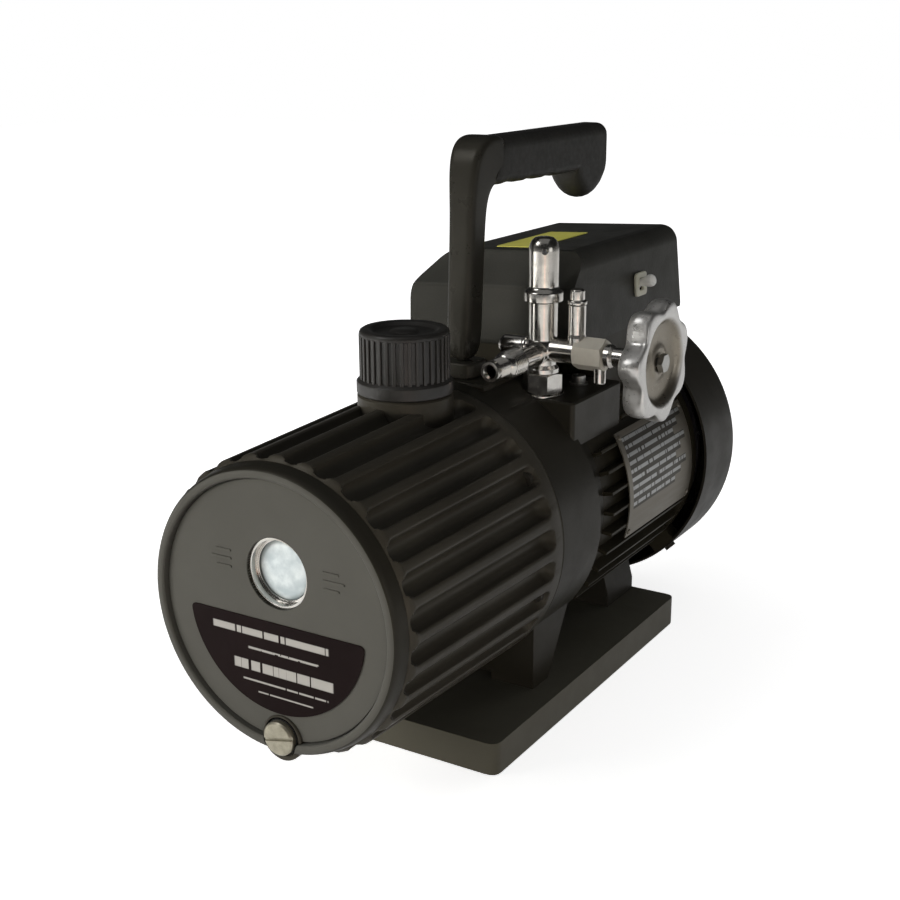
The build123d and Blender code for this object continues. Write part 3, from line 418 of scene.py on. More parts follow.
# ---- oil casing ----
# Cast cylinder with 28 round-bottomed flutes that run out in round ends behind the
# rim. The radius follows one rule of the angle and of the place along the shaft.
FRONT_Y, CASE_REAR, CASE_BORE = -193.7, -49.1, 63.5
RIB_R0, RIB_R1, RIB_Y0, RIB_Y1 = 74, 77.6, -181.6, -58
FLUTES, FLUTE_R, FLUTE_SINK, FLUTE_Y0, FLUTE_Y1 = 28, 5.6, 1.2, -178, -63
OUTER_WALL, ROLL_REACH, ROLL_DROP = 0.0705, 0.0016, 0.0009      # metres
LIP_R, PANEL_R, PANEL_DEPTH, FRONT_DEEP = 68.9, 65, 3.2, 9
FACE_Y = FRONT_Y + PANEL_DEPTH
SIGHT_X, SIGHT_Z, SIGHT_HOLE = 2.8, AXIS_Z + 19.6, 17.5
DRAIN_X, DRAIN_Z = 2.5, AXIS_Z - 62.5
CAP_X, CAP_Y, NECK_FOOT = -0.5, -77, 182.4
# The oil casing's black paint comes in copies of different lightness. The front face and its level marks take
# a lighter copy as painted light.
BARREL_ENAMEL = enamel("barrel_enamel", PAINT, (0.032, 0.029, 0.023), (0.048, 0.044, 0.035), 0.36)
LIT_FRONT_ENAMEL = enamel("front_enamel_lit_copy", PAINT, (0.066, 0.065, 0.058), (0.082, 0.081, 0.073), 0.46)


def mesh_group(name, kinds, rule):
    """Geometry Nodes group with named inputs, which the rule turns into geometry."""
    group = bpy.data.node_groups.new(name, "GeometryNodeTree")
    for label, kind in [("Geometry", "Geometry"), *kinds, ("Material", "Material")]:
        group.interface.new_socket(label, in_out="INPUT", socket_type="NodeSocket" + kind)
    group.interface.new_socket("Geometry", in_out="OUTPUT", socket_type="NodeSocketGeometry")
    g = Graph(group)
    source = group.nodes.new("NodeGroupInput")
    given = {socket.name: Sock(g, socket) for socket in source.outputs if socket.name}
    real = g.add("GeometryNodeRealizeInstances", {}, {0: rule(g, given)})
    painted = g.add("GeometryNodeSetMaterial", {}, {"Geometry": real, "Material": given["Material"]})
    group.links.new(painted.socket, group.nodes.new("NodeGroupOutput").inputs[0])
    return group


def run_group(thing, group, values):
    """Run a node group on a piece with these values and keep the result."""
    change = thing.modifiers.new(group.name, "NODES")
    change.node_group = group
    for item in group.interface.items_tree:
        if item.in_out == "INPUT" and item.name in values:
            change[item.identifier] = values[item.name]
    return bake(thing)


def flute_rule(g, given):
    """Sink a round-bottomed flute into the outer wall, once in each pitch."""
    x, y, z = g.split(g.add("GeometryNodeInputPosition"))
    rise = z - given["Axis Height"]
    radius = (x * x + rise * rise) ** 0.5
    turn = g.math("ARCTAN2", rise, x) * given["Flutes"] / (2 * math.pi)
    across = (g.math("FRACT", turn + 100) - 0.5) * (2 * math.pi) * radius / given["Flutes"]
    past_start = g.most(given["Start"] - y, 0)
    past_end = g.most(y - given["End"], 0)
    off = across * across + past_start * past_start + past_end * past_end
    inside = g.most(given["Radius"] * given["Radius"] - off, 0)
    in_flute = g.math("GREATER_THAN", inside, 0)
    edge = g.most(1 - g.math("ABSOLUTE", off ** 0.5 - given["Radius"]) / ROLL_REACH, 0)
    groove = in_flute * (inside ** 0.5 + given["Depth"]) + (1 - in_flute) * edge * edge * ROLL_DROP
    factor = 1 - g.math("GREATER_THAN", radius, OUTER_WALL) * groove / radius
    moved = g.add("ShaderNodeCombineXYZ", {}, {0: x * factor, 1: y, 2: rise * factor + given["Axis Height"]})
    return g.add("GeometryNodeSetPosition", {}, {"Geometry": given["Geometry"], "Position": moved})


def fluted_barrel():
    """Closed tube whose columns crowd at the flute edges and rows at their ends."""
    pitch = 2 * math.pi / FLUTES
    offsets = [0, 1.3, 2.6, 3.8, 4.7, 5.3, 5.62, 5.9, 6.5, 7.3]
    offsets = [-d for d in reversed(offsets[1:])] + offsets
    columns = []
    for k in range(FLUTES):
        middle = (k + 0.5) * pitch
        columns += [middle + d / 76 for d in offsets] + [middle + pitch / 2]
    rows = [(71.4, -184.6), (72.6, -183.7), (73.6, -182.7), (RIB_R0, RIB_Y0)]
    stops = [-180.6, -180, -179.2, -178] + [-172 + 9.5 * k for k in range(12)]
    for y in stops + [-63, -61, -59.2, -58.2, -57.3, -56.6]:
        share = min((y - RIB_Y0) / (RIB_Y1 - RIB_Y0), 1)
        rows.append((RIB_R0 + share * (RIB_R1 - RIB_R0), y))
    rows += [(RIB_R1, -50.2), (RIB_R1 - 0.5, -49.4), (RIB_R1 - 1.2, CASE_REAR), (CASE_BORE, CASE_REAR),
             (CASE_BORE, -184.6)]
    return skin([[at("Y", SHAFT, r * math.cos(a), r * math.sin(a), y) for a in columns] for r, y in rows],
                closed=True)


inputs = [(name, "Float") for name in ("Flutes", "Radius", "Start", "End", "Depth", "Axis Height")]
flutes = mesh_group("flute_rule", inputs, flute_rule)
barrel = run_group(shown("casing_barrel", fluted_barrel()), flutes, {
    "Flutes": float(FLUTES), "Radius": FLUTE_R * MM, "Start": FLUTE_Y0 * MM, "End": FLUTE_Y1 * MM,
    "Depth": FLUTE_SINK * MM, "Axis Height": AXIS_Z * MM, "Material": BARREL_ENAMEL.material})
finish_piece(barrel, BARREL_ENAMEL, ["oil_casing"], angle=34)


def drain_hole(radius):
    """Cutter for the notch of the drain plug, new for each cut."""
    return rod(radius, -200, FACE_Y, "Y", (DRAIN_X, 0, DRAIN_Z), 64)


GROOVE_R = PANEL_R - 0.9
front = [(0, FRONT_DEEP), (LIP_R, FRONT_DEEP), (LIP_R, 0.45), (68.2, 0.1), (67.4, 0), (66.1, 0),
         (65.4, 0.4), (PANEL_R, 1), (PANEL_R, PANEL_DEPTH + 1.4), (GROOVE_R, PANEL_DEPTH + 1.4),
         (GROOVE_R, PANEL_DEPTH), (0, PANEL_DEPTH)]
sight_hole = rod(SIGHT_HOLE, -200, -180, "Y", (SIGHT_X, 0, SIGHT_Z), 96)
# The front face is painted with the lighter copy of the black paint: painted light.
piece("casing_front", lathe(front, "Y", (0, FRONT_Y, AXIS_Z), 160), LIT_FRONT_ENAMEL,
      cut=[sight_hole, drain_hole(10)], bevel=0.5)
# Painted shade: the rim takes the darker bracket copy of the casing's black paint, for the shade on its
# outward side.
rim = [(LIP_R, FRONT_DEEP), (71.3, FRONT_DEEP), (70.6, 4.1), (70.2, 2.6), (69.8, 1.4), (69.3, 0.7),
       (LIP_R, 0.45)]
piece("casing_rim", lathe(rim, "Y", (0, FRONT_Y, AXIS_Z), 160, True), CAST_ENAMEL, cut=[drain_hole(10)],
      angle=50)
boss = rod(11.6, FRONT_Y + 1.8, -172, "Y", (DRAIN_X, 0, DRAIN_Z - 1), 64, 1.2)
piece("drain_boss", boss, BARREL_ENAMEL, cut=[drain_hole(9.9)], bevel=0.4)

# Painted shade: the pocket round the glass takes the darker bracket copy of the casing's black paint, for the
# shade inside the recess.
pocket = [(SIGHT_HOLE, 0.6), (SIGHT_HOLE + 4.5, 0.6), (SIGHT_HOLE + 4.5, 14.5), (13, 14.5), (13, 10.5),
          (SIGHT_HOLE, 10.5)]
piece("sight_pocket", lathe(pocket, "Y", (SIGHT_X, FACE_Y, SIGHT_Z), 80, True), CAST_ENAMEL)

neck = [(15, -22.4), (24.6, -22.4), (24.6, -1), (23.6, 0), (18, 0)]
for k in range(5):
    neck += [(17.1, 2.5 + 4 * k), (18, 4.5 + 4 * k)]
neck += [(17.4, 24.6), (15, 24.6)]
piece("filler_neck", lathe(neck, "Z", (CAP_X, CAP_Y, NECK_FOOT), 96, True), BARREL_ENAMEL)

marks = []
for side in (-1, 1):
    for dz, length in ((6.5, 9), (2.5, 12), (-1.5, 9)):
        x0, x1 = sorted((SIGHT_X + side * 26.5, SIGHT_X + side * (26.5 + length)))
        z = SIGHT_Z + dz
        marks.append(prism(rectangle(x0, x1, z - 0.6, z + 0.6, 0.5), "Y", FACE_Y - 0.5, FACE_Y + 0.4))
piece("level_marks", marks, LIT_FRONT_ENAMEL, bevel=0.2)

PAPER = mottled("gasket_paper", None, (1800, 4, 0.7), (0.03, 0.027, 0.02), (0.06, 0.055, 0.042),
                (0.75, 0.9))
repaint(PAPER, "casing_gasket")
BLACKED = mottled("blackened_steel", None, (600, 3), (0.045, 0.042, 0.035), (0.085, 0.08, 0.07),
                  (0.34, 0.5), grain=0.00001, Metallic=0.6)
repaint(BLACKED, "casing_screws")

# ---- front label ----
# Thin black plate below the sight glass: a circle's segment with rounded corners,
# and broken pale bars where a maker would print.
LABEL_R, LABEL_X = 51.2, 0.9
FILM = Finish("label_film", "label_black", Specular_IOR_Level=0.08)
x, y, z = FILM.split(FILM.place)
rules = 0
for x0, x1, z0, z1 in ((-37, 32, 87.5, 91.5), (-16, 26, 80.6, 82.2), (-25, 34, 69.5, 75), (-20, 31, 64, 65.4),
                       (-12, 22, 58.8, 60)):
    bar = FILM.span(x, x0 * MM, (x0 + 1) * MM) * FILM.span(x, x1 * MM, (x1 - 1) * MM)
    bar = bar * FILM.span(z, z0 * MM, (z0 + 0.5) * MM) * FILM.span(z, z1 * MM, (z1 - 0.5) * MM)
    rules = bar + rules
along = FILM.add("ShaderNodeCombineXYZ", {}, {"X": x * 420, "Y": FILM.math("FLOOR", z * 160) * 3.3})
rules = rules * FILM.span(FILM.noise(1, 1, vector=along), 0.34, 0.38)
black = FILM.mix(FILM.noise(45, 3), (0.005, 0.002, 0.002), (0.01, 0.005, 0.005))
FILM.paint(rules * 0.9, black, (0.42, 0.41, 0.39), FILM.noise(240, 3), 0.3, 0.7, (0.38, 0.48))
FILM.bump(FILM.noise(1400, 2), 0.00001)


def arc(u, v, radius, start, sweep=90, steps=6):
    """Points of an arc about a point, from an angle in degrees."""
    angles = [math.radians(start + sweep * k / steps) for k in range(steps + 1)]
    return [(u + radius * math.cos(a), v + radius * math.sin(a)) for a in angles]


bow = arc(LABEL_X, AXIS_Z, LABEL_R, 185.6, 168.8, 60)
outline = rounded([bow[0]] + bow[3:-3] + [bow[-1]], 5, 5)
piece("front_plate", prism(outline, "Y", FACE_Y - 0.6, FACE_Y + 0.01), FILM, ["front_label"], bevel=0.15)

# ---- sight glass ----
# Round window set deep in the front: a bright sleeve, milky glass with the pale oil
# chamber behind it, and a rubber ring that shows as a thin dark line.
GLASS = (SIGHT_X, FACE_Y + 7.1, SIGHT_Z)
NICKEL = mottled("bright_nickel", "nickel", (30, 4, 0.6), (0.64, 0.61, 0.56), (0.8, 0.78, 0.74),
                 (0.13, 0.28), wear=(160, 5, 0.65), band=(0.3, 0.75), clear=(0.3, 0.7), grain=0.00002,
                 pits=(420, 3), Metallic=1)
sleeve = [(15.9, -5.6), (17.45, -5.6), (17.45, 0), (14.6, 0), (14.6, -1.6), (15.9, -1.6)]
piece("sight_sleeve", lathe(sleeve, "Y", GLASS, 96, True, 0.3), NICKEL, ["sight_bezel"])

LENS = Finish("sight_lens", "lens_glass", Coat_Weight=1, Coat_Roughness=0.03, IOR=1.5)
haze = LENS.noise(70, 4, 0.6)
x, y, z = LENS.split(LENS.place)
# Painted shade: the glass turns darker towards its edge, for the shade that the deep recess casts on it.
painted_rim_shade = LENS.span(((x - SIGHT_X * MM) ** 2 + (z - SIGHT_Z * MM) ** 2) ** 0.5, 0.0115, 0.0145)
milky = LENS.mix(LENS.span(haze, 0.35, 0.7), (0.46, 0.54, 0.58), (0.76, 0.83, 0.85))
LENS.paint(painted_rim_shade * 0.6, milky, (0.2, 0.24, 0.25), haze, 0.3, 0.7, (0.05, 0.16))
lens = [(0, -1.9), (5, -1.8), (9, -1.55), (12.4, -1.2), (14.1, -0.7), (14.3, 0), (16.8, 0), (16.8, 2),
        (0, 2)]
piece("sight_window", lathe(lens, "Y", GLASS, 96), LENS, ["sight_glass"])

SEAL = mottled("seal_rubber", None, (500, 3), (0.012, 0.012, 0.012), (0.026, 0.026, 0.025), (0.5, 0.65),
               Specular_IOR_Level=0.35)
repaint(SEAL, "sight_oring", "drain_washer", "cap_seal", "valve_disc", "shaft_seal")

# ---- drain plug ----
# Pale brass plug with a coin slot, set in a notch of the rim at the lowest point.
BRASS = mottled("pale_brass", "pale_brass", (260, 4, 0.65), (0.52, 0.49, 0.39), (0.38, 0.35, 0.27),
                (0.28, 0.46), band=(0.25, 0.75), clear=(0.3, 0.75), grain=0.00002, pits=(1200, 2),
                Metallic=0.85)
HEAD_Y = FACE_Y - 1.2
PLUG = (DRAIN_X, HEAD_Y, DRAIN_Z)
plug = [(0, -3.4), (7.7, -3.4), (8.6, -2.6), (8.6, 0), (3.7, 0), (3.7, 13.2), (0, 13.2)]
coin_slot = box(DRAIN_X - 12, DRAIN_X + 12, HEAD_Y - 5, HEAD_Y - 2.1, DRAIN_Z - 0.8, DRAIN_Z + 0.8)
piece("coin_plug", lathe(plug, "Y", PLUG, 64, corner=0.4), BRASS, ["drain_plug"],
      [turned(coin_slot, -14, "Y", PLUG)], 0.2, body="drain")

# ---- oil fill cap ----
# Black moulded screw cap: fine grip ribs all round, a skirt, and a dished top.
CAP, CAP_RIBS = (CAP_X, CAP_Y, NECK_FOOT + 0.3), 36
NYLON = mottled("moulded_nylon", "black_plastic", (22, 3), (0.014, 0.013, 0.012), (0.024, 0.023, 0.021),
                (0.34, 0.44), wear=(200, 3), band=(0.25, 0.75), grain=0.00002, pits=(1600, 3),
                Coat_Weight=0.15, Coat_Roughness=0.3)
cap = [(18.3, 0), (24.2, 0), (24.8, 0.6), (24.8, 6), (24.3, 6.6), (22.8, 7.8), (22.2, 8.2), (22.2, 29.3),
       (22.9, 29.7), (23, 30.9), (22.5, 32), (21.4, 32.7), (18.3, 32.7), (17.2, 32.2), (15.8, 30.9),
       (14.6, 30.7), (8, 30.7), (7, 31.4), (6, 32), (0, 32.1), (0, 26.3), (18.3, 26.3)]


def ring_rule(g, given):
    """Copies of the incoming mesh turned about a line, a full circle of them."""
    back = g.add("ShaderNodeVectorMath", {"operation": "SCALE"}, {0: given["Centre"], "Scale": -1})
    unit = g.add("GeometryNodeTransform", {}, {"Geometry": given["Geometry"], "Translation": back})
    places = g.add("GeometryNodeMeshLine", {}, {"Count": given["Count"], "Offset": (0, 0, 0)})
    angle = g.add("GeometryNodeInputIndex") * (2 * math.pi) / given["Count"]
    spin = g.add("ShaderNodeVectorMath", {"operation": "SCALE"}, {0: given["Axis"], "Scale": angle})
    copies = g.add("GeometryNodeInstanceOnPoints", {}, {"Points": places, "Instance": unit, "Rotation": spin})
    return g.add("GeometryNodeTransform", {}, {"Geometry": copies, "Translation": given["Centre"]})


RING = mesh_group("ring_pattern", [("Count", "Int"), ("Axis", "Vector"), ("Centre", "Vector")], ring_rule)
AXES = {"Y": (0.0, 1.0, 0.0), "Z": (0.0, 0.0, 1.0)}


def ring(name, mesh, count, axis, centre, finish):
    """A mesh repeated round a line through a centre."""
    values = {"Count": count, "Axis": AXES[axis], "Centre": tuple(Vector(centre) * MM),
              "Material": finish.material}
    return run_group(shown(name, mesh), RING, values)


piece("fill_cap_shell", lathe(cap, "Z", CAP, 180), NYLON, ["oil_fill_cap"], angle=40, body="fill_cap")
rib = prism(rectangle(21.9, 23.2, -1.05, 1.05, 0.6, 3), "Z", 7.6, 30.1, CAP)
finish_piece(ring("fill_cap_ribs", rib, CAP_RIBS, "Z", CAP, NYLON), NYLON, bevel=0.2, body="fill_cap")

# ---- handle ----
# Enamelled post that leans back from the deck, turns over in a round shoulder and
# carries a black rubber grip with three finger hollows and a drop-shaped end.
DECK_TOP = AXIS_Z + 77
GRIP_TOP, GRIP_UNDER, GRIP_END = 305, 280.5, 133
HOLLOWS = (15, 37, 59)
NOSE_R, NOSE_LOW = 18.5, 263.5
NOSE_Y = GRIP_END - 1 - NOSE_R
HANDLE_ENAMEL = enamel("handle_enamel", "handle_enamel", (0.016, 0.015, 0.012), (0.026, 0.025, 0.021), 0.3,
                       0.00003)
POST_STATIONS = (     # front edge y z, rear edge y z, half width
    (-28.5, 186, -12, 186, 7.5), (-27.1, 210, -10.4, 210, 7.5), (-25.3, 240, -8.6, 240, 7.6),
    (-23.9, 262, -7.2, 262, 7.8), (-23.3, 274, -6.2, 270, 8.2), (-22.4, 285, -4.4, 276, 8.8),
    (-20.4, 294.5, -1.4, 279.4, 9.4), (-16.4, 301.4, 2, 280.6, 10), (-10.4, 305.2, 5.6, 281.2, 10.5),
    (-3, 306.2, 8.6, 281.6, 10.9), (3, 305.8, 10.6, 282, 10.6), (9, 304, 13, 283, 8.6),
    (20, 300, 20, 284.5, 7), (123, 299, 123, 284.5, 7))


def loft(sections):
    """Closed skin through sections given in millimetres."""
    return skin([[Vector(p) * MM for p in section] for section in sections], capped=True)


def post_section(y0, z0, y1, z1, half):
    """Rounded rectangle between the front and the rear edge of the post."""
    front_edge, rear_edge = Vector((0, y0, z0)), Vector((0, y1, z1))
    middle, reach = (front_edge + rear_edge) / 2, (rear_edge - front_edge) / 2
    depth = reach.length
    ring_points = []
    for u, v in rectangle(-half, half, -depth, depth, 4.4, 5):
        place = middle + reach * (v / depth)
        ring_points.append((u, place.y, place.z))
    return ring_points


post = smoothed(shown("handle_post", loft([post_section(*station) for station in POST_STATIONS])), 2)
finish_piece(post, HANDLE_ENAMEL, ["handle_frame"], angle=60)
foot_ring = prism(rectangle(-10, 10, -30, -9, 5), "Z", DECK_TOP, DECK_TOP + 8.6)
piece("handle_foot", foot_ring, HANDLE_ENAMEL, bevel=1.4, segments=3)
repaint(BLACKED, "handle_screws")

RUBBER = mottled("grip_rubber", "grip_rubber", (40, 4), (0.014, 0.014, 0.012), (0.026, 0.025, 0.023),
                 (0.5, 0.64), wear=(320, 3), Specular_IOR_Level=0.4)
stipple = RUBBER.add("ShaderNodeTexVoronoi", {}, {"Vector": RUBBER.place, "Scale": 1500})
RUBBER.bump(stipple * 0.6 + RUBBER.noise(700, 3) * 0.4, 0.00008)


def grip_section(y):
    """Section of the grip: finger hollows below, then a round hanging nose."""
    under = GRIP_UNDER - 0.8 - min(y / 70, 1)
    for middle in HOLLOWS:
        reach = 26 ** 2 - (y - middle) ** 2
        under = max(under, GRIP_UNDER - 26.2 - min(y / 70, 1) + math.sqrt(max(reach, 0)))
    off = NOSE_R ** 2 - (y - NOSE_Y) ** 2
    nose = max(0, GRIP_UNDER - (NOSE_LOW + NOSE_R - math.sqrt(max(off, 0)))) if off > 0 else 0
    under -= nose
    low_r = 5 + min(nose, 5.6)
    end = max(0, (y - (GRIP_END - 4.5)) / 4.5)
    inset = 4.5 * (1 - math.sqrt(max(0, 1 - end * end)))
    start = max(0, 1 - (y - 1.5) / 5)
    inset += 0.7 * start * start
    wide, low, top = 11 - inset, under + inset, GRIP_TOP - inset
    top_r, low_r = 7 - 0.5 * inset, low_r - 0.5 * inset
    points = arc(wide - low_r, low + low_r, low_r, 270) + arc(wide - top_r, top - top_r, top_r, 0)
    points += arc(-wide + top_r, top - top_r, top_r, 90) + arc(-wide + low_r, low + low_r, low_r, 180)
    slant = 0.42 * max(0, 1 - (y - 1.5) / 30) ** 3
    return [(u, y + slant * (v - 292), v) for u, v in points]


stations = [1.5 + 0.5 * k for k in range(5)] + [4 + k for k in range(125)]
stations += [GRIP_END - 4.5 * (1 - math.sin(math.radians(a))) for a in range(5, 91, 8)] + [GRIP_END]
grip = loft([grip_section(y) for y in sorted(set(stations))])
piece("grip_sleeve", grip, RUBBER, ["handle_grip"], angle=60)

# ---- intake manifold ----
# Nickel plated brass cross on the boss: a leg with a hexagon nut, a capped upright
# branch, a capped left branch, an open flare branch and the body of the hand valve.
HUB_X, HUB_Y, HUB_Z = 37.2, 1.3, 194
HUB = (HUB_X, HUB_Y, HUB_Z)
VALVE = (0, HUB_Y, HUB_Z)
BOSS_TOP, NUT_TOP, PORT_RISE = 168.5, HUB_Z - 13, 25.7
FLARE_Z, FLARE_Y, FLARE_R, FLARE_BORE = HUB_Z - 1.4, -56, 5.55, 2.75
SMALL_X = HUB_X + 20.3
HEX_X0, HEX_X1 = 58, 75


def hexagon(flats, turn=0):
    return arc(0, 0, flats / math.sqrt(3), turn, 300, 5)


def ball(radius, centre, steps=64):
    turns = [math.pi * k / 24 for k in range(25)]
    return lathe([(radius * math.sin(a), -radius * math.cos(a)) for a in turns], "Z", centre, steps)


def nut_mesh(flats, low, high, axis, centre, turn=0):
    """Hexagon whose corners are turned off at both ends."""
    r, drop, land = flats / math.sqrt(3) + 0.1, flats * 0.05, flats / 2 - 0.2
    turned_off = [(0, low - 0.01), (land, low - 0.01), (r, low + drop), (r, high - drop),
                  (land, high + 0.01), (0, high + 0.01)]
    return common(prism(hexagon(flats, turn), axis, low, high, centre), lathe(turned_off, axis, centre, 72))


leg = [(0, -25.3), (6, -25.3), (6, -13), (9, -13), (9, -10.4), (7.4, -8.6), (7.6, -3), (8.1, 8),
       (8.1, PORT_RISE), (0, PORT_RISE)]
arm_left = [(0, -10), (6.8, -10), (6.8, -8.6), (6.2, -8), (6.6, -4), (7, 0), (6.8, 6), (6.8, 22),
            (0, 22)]
arm_front = [(0, 0), (7.2, 0), (6.6, -6), (6.6, -10.3), (0, -10.3)]
small = [(0, 0), (5.6, 0), (5, 8.2), (4.7, 10), (4.7, PORT_RISE), (0, PORT_RISE)]
stub = [(0, -15.5), (2.7, -15.5), (3.2, -15), (3.2, -10), (3.6, -6), (0, -6)]
shapes = [ball(9.6, HUB), lathe(leg, "Z", HUB, 72, corner=0.5), lathe(arm_left, "X", HUB, 72, corner=0.5),
          lathe(arm_front, "Y", (HUB_X, HUB_Y, FLARE_Z), 72, corner=0.4),
          lathe(small, "Z", (SMALL_X, HUB_Y, HUB_Z), 48, corner=0.4),
          lathe(stub, "Z", (71.5, HUB_Y, HUB_Z), 40, corner=0.4)]
piece("manifold_cross", shapes, NICKEL, ["manifold_body"], angle=32)
SATIN = mottled("satin_nickel", "nickel", (500, 3, 0.6), (0.6, 0.57, 0.5), (0.72, 0.69, 0.61), (0.42, 0.56),
                grain=0.00002, Metallic=0.45)
piece("valve_block", nut_mesh(15.6, HEX_X0, HEX_X1, "X", VALVE, 30), SATIN, angle=28)

branch = [(FLARE_BORE, -9), (5.2, -9), (5, -13), (5, -25), (5.6, -26), (7, -27.2)]
for k in range(7):      # rings of the knurled collar
    branch += [(7.4, -28.4 - 1.6 * k), (7.4, -29.2 - 1.6 * k), (7, -29.6 - 1.6 * k)]
branch += [(7, -40.4), (6, -41.6), (5, -42.2)]
for k in range(7):      # flare thread
    branch += [(FLARE_R, -43.4 - 1.3 * k), (4.95, -44.1 - 1.3 * k)]
branch += [(FLARE_R, -52.8), (FLARE_R, -55.2), (5.2, FLARE_Y), (3.7, FLARE_Y), (FLARE_BORE, FLARE_Y + 1.6)]
piece("flare_arm", lathe(branch, "Y", (HUB_X, 0, FLARE_Z), 72, True), NICKEL, ["flare_branch"], angle=28)

collar = [(6, 0), (11.5, 0), (11.5, 1.2), (6, 1.2)]
union = [nut_mesh(19, BOSS_TOP + 1.2, NUT_TOP, "Z", (HUB_X, HUB_Y, 0), 12),
         lathe(collar, "Z", (HUB_X, HUB_Y, BOSS_TOP), 64, True, 0.3)]
piece("union_nut", union, NICKEL, ["manifold_nut"], angle=28)

PORT = (HUB_X, HUB_Y, HUB_Z + PORT_RISE)
tall = [(4.9, 0.3), (10.3, 0.3), (10.7, 0.8), (10.7, 5), (10.2, 5.9), (9.2, 6.8), (8.4, 7.6), (8.2, 8.6),
        (8.2, 27), (8, 29.2), (7.4, 31.2), (6.4, 32.9), (5, 34.1), (3, 34.6), (0, 34.7), (0, 20.3),
        (4.9, 20.3)]
tether_hole = rod(1.6, HUB_Y - 12, HUB_Y + 12, "Y", (HUB_X, 0, PORT[2] + 27.5), 32)
tether_hole = turned(tether_hole, 31, "Z", (HUB_X, HUB_Y, 0))
piece("upright_cap", lathe(tall, "Z", PORT, 80), NICKEL, ["port_cap_top"], [tether_hole], angle=34,
      body="top_cap")

left = [(0, 15), (3.9, 15), (3.9, 26.7), (6, 26.7), (6.2, 26.4), (6.2, 15.4), (5.9, 14), (5, 12.4),
        (3.4, 11.4), (0, 11.2)]
piece("left_cap", lathe(left, "X", VALVE, 64), NICKEL, ["port_cap_left"], body="side_cap")
little = [(2.7, 0.3), (5, 0.3), (5.2, 0.6), (5.2, 2), (4.8, 2.6), (3.9, 2.9), (3.9, 7.3), (3.6, 8),
          (2.9, 8.5), (0, 8.5), (0, 6.3), (2.7, 6.3)]
piece("small_dust_cap", lathe(little, "Z", (SMALL_X, HUB_Y, PORT[2]), 48), NICKEL, ["port_cap_small"],
      body="small_cap")

# ---- intake valve and handwheel ----
# Bonnet screwed into the hexagon, a steel stem, and a seven-lobed cast wheel with a
# dished outer face. The wheel's rim radius swings in and out once for each lobe.
WHEEL_X, WHEEL_DEEP, RIM_R = 94.5, 14, 26.6
LOBES, LOBE_REACH, LOBE_PHASE = 7, 33.2, -18
STEM_R = 2.5
bonnet = [(STEM_R + 0.05, 70), (4.5, 70), (4.5, HEX_X1), (6.4, HEX_X1), (6.4, 78.4), (5.9, 79.2),
          (5.2, 80.2), (5.2, 85.6), (4.9, 87.2), (4.2, 88.5), (STEM_R + 0.05, 88.5)]
piece("valve_neck", lathe(bonnet, "X", VALVE, 64, True, 0.25), NICKEL, ["valve_bonnet"])

STEEL = Finish("ground_steel", Metallic=1)
grind = STEEL.noise(40, 2, vector=STEEL.stretched(60, 2, 60))
STEEL.paint(grind, (0.4, 0.4, 0.4), (0.58, 0.58, 0.57), grind, 0.2, 0.8, (0.24, 0.4))
repaint(STEEL, "valve_stem", "motor_shaft", "pump_shaft", "pump_rotors")

WHEEL_CAST = Finish("wheel_casting", "nickel", Metallic=0.9)
pits = WHEEL_CAST.noise(420, 4, 0.6)
x, y, z = WHEEL_CAST.split(WHEEL_CAST.place)
off_y, off_z = y - HUB_Y * MM, z - HUB_Z * MM
from_axis = (off_y * off_y + off_z * off_z) ** 0.5
# Painted reflection and shade: the dished outer face is tinted a darker warm brown in place of the warm
# reflection seen in it. The lobes and rim keep the bright plated colour.
dished = WHEEL_CAST.span(from_axis, 0.0245, 0.0215) * WHEEL_CAST.span(x, 0.1005, 0.103)
painted_face_reflection = WHEEL_CAST.mix(pits, (0.25, 0.22, 0.18), (0.36, 0.33, 0.27))
bright = WHEEL_CAST.mix(pits, (0.64, 0.63, 0.61), (0.8, 0.79, 0.77))
WHEEL_CAST.paint(dished, bright, painted_face_reflection, pits, 0.2, 0.8, (0.24, 0.42))
WHEEL_CAST.bump(pits, 0.00005)


def rim_swing(angle):
    """Share of the way from hollow to lobe at an angle, with broad lobes."""
    wave = 0.5 + 0.5 * math.cos(LOBES * (angle - math.radians(LOBE_PHASE)))
    return wave ** 0.85


def wheel_mesh():
    """Rows of radius, height from the back and share of the lobes."""
    rows = [(STEM_R, 0, 0), (7, 0, 0), (7.2, 4, 0), (19, 4, 0), (20, 0, 0.1), (22.3, 0, 0.75),
            (24.2, 1.2, 1), (25.8, 3.4, 1), (RIM_R, 6.6, 1), (26.4, 9.8, 1), (27.4, 11.8, 0.75),
            (27.4, 13.3, 0.72), (26.4, 14, 0.6), (23.6, 14, 0.1), (22.6, 13.5, 0), (20.4, 10.4, 0),
            (18, 9.8, 0), (9.6, 9.4, 0), (8.6, 11.2, 0), (STEM_R, 11.4, 0)]
    turns = [2 * math.pi * k / (LOBES * 24) for k in range(LOBES * 24)]
    sections = []
    for radius, x, share in rows:
        reach = [radius + share * rim_swing(a) * (LOBE_REACH - RIM_R) for a in turns]
        sections.append([Vector((WHEEL_X + x, HUB_Y - r * math.sin(a), HUB_Z + r * math.cos(a))) * MM
                         for r, a in zip(reach, turns)])
    return skin(sections, closed=True)


wheel = smoothed(shown("valve_handwheel", wheel_mesh()), 1)
finish_piece(wheel, WHEEL_CAST, ["handwheel"], angle=60, body="valve_wheel")
face = WHEEL_X + WHEEL_DEEP
piece("wheel_hex_nut", nut_mesh(9, face - 2.6, face + 0.6, "X", VALVE), ZINC, ["wheel_nut"], angle=28,
      body="valve_wheel")

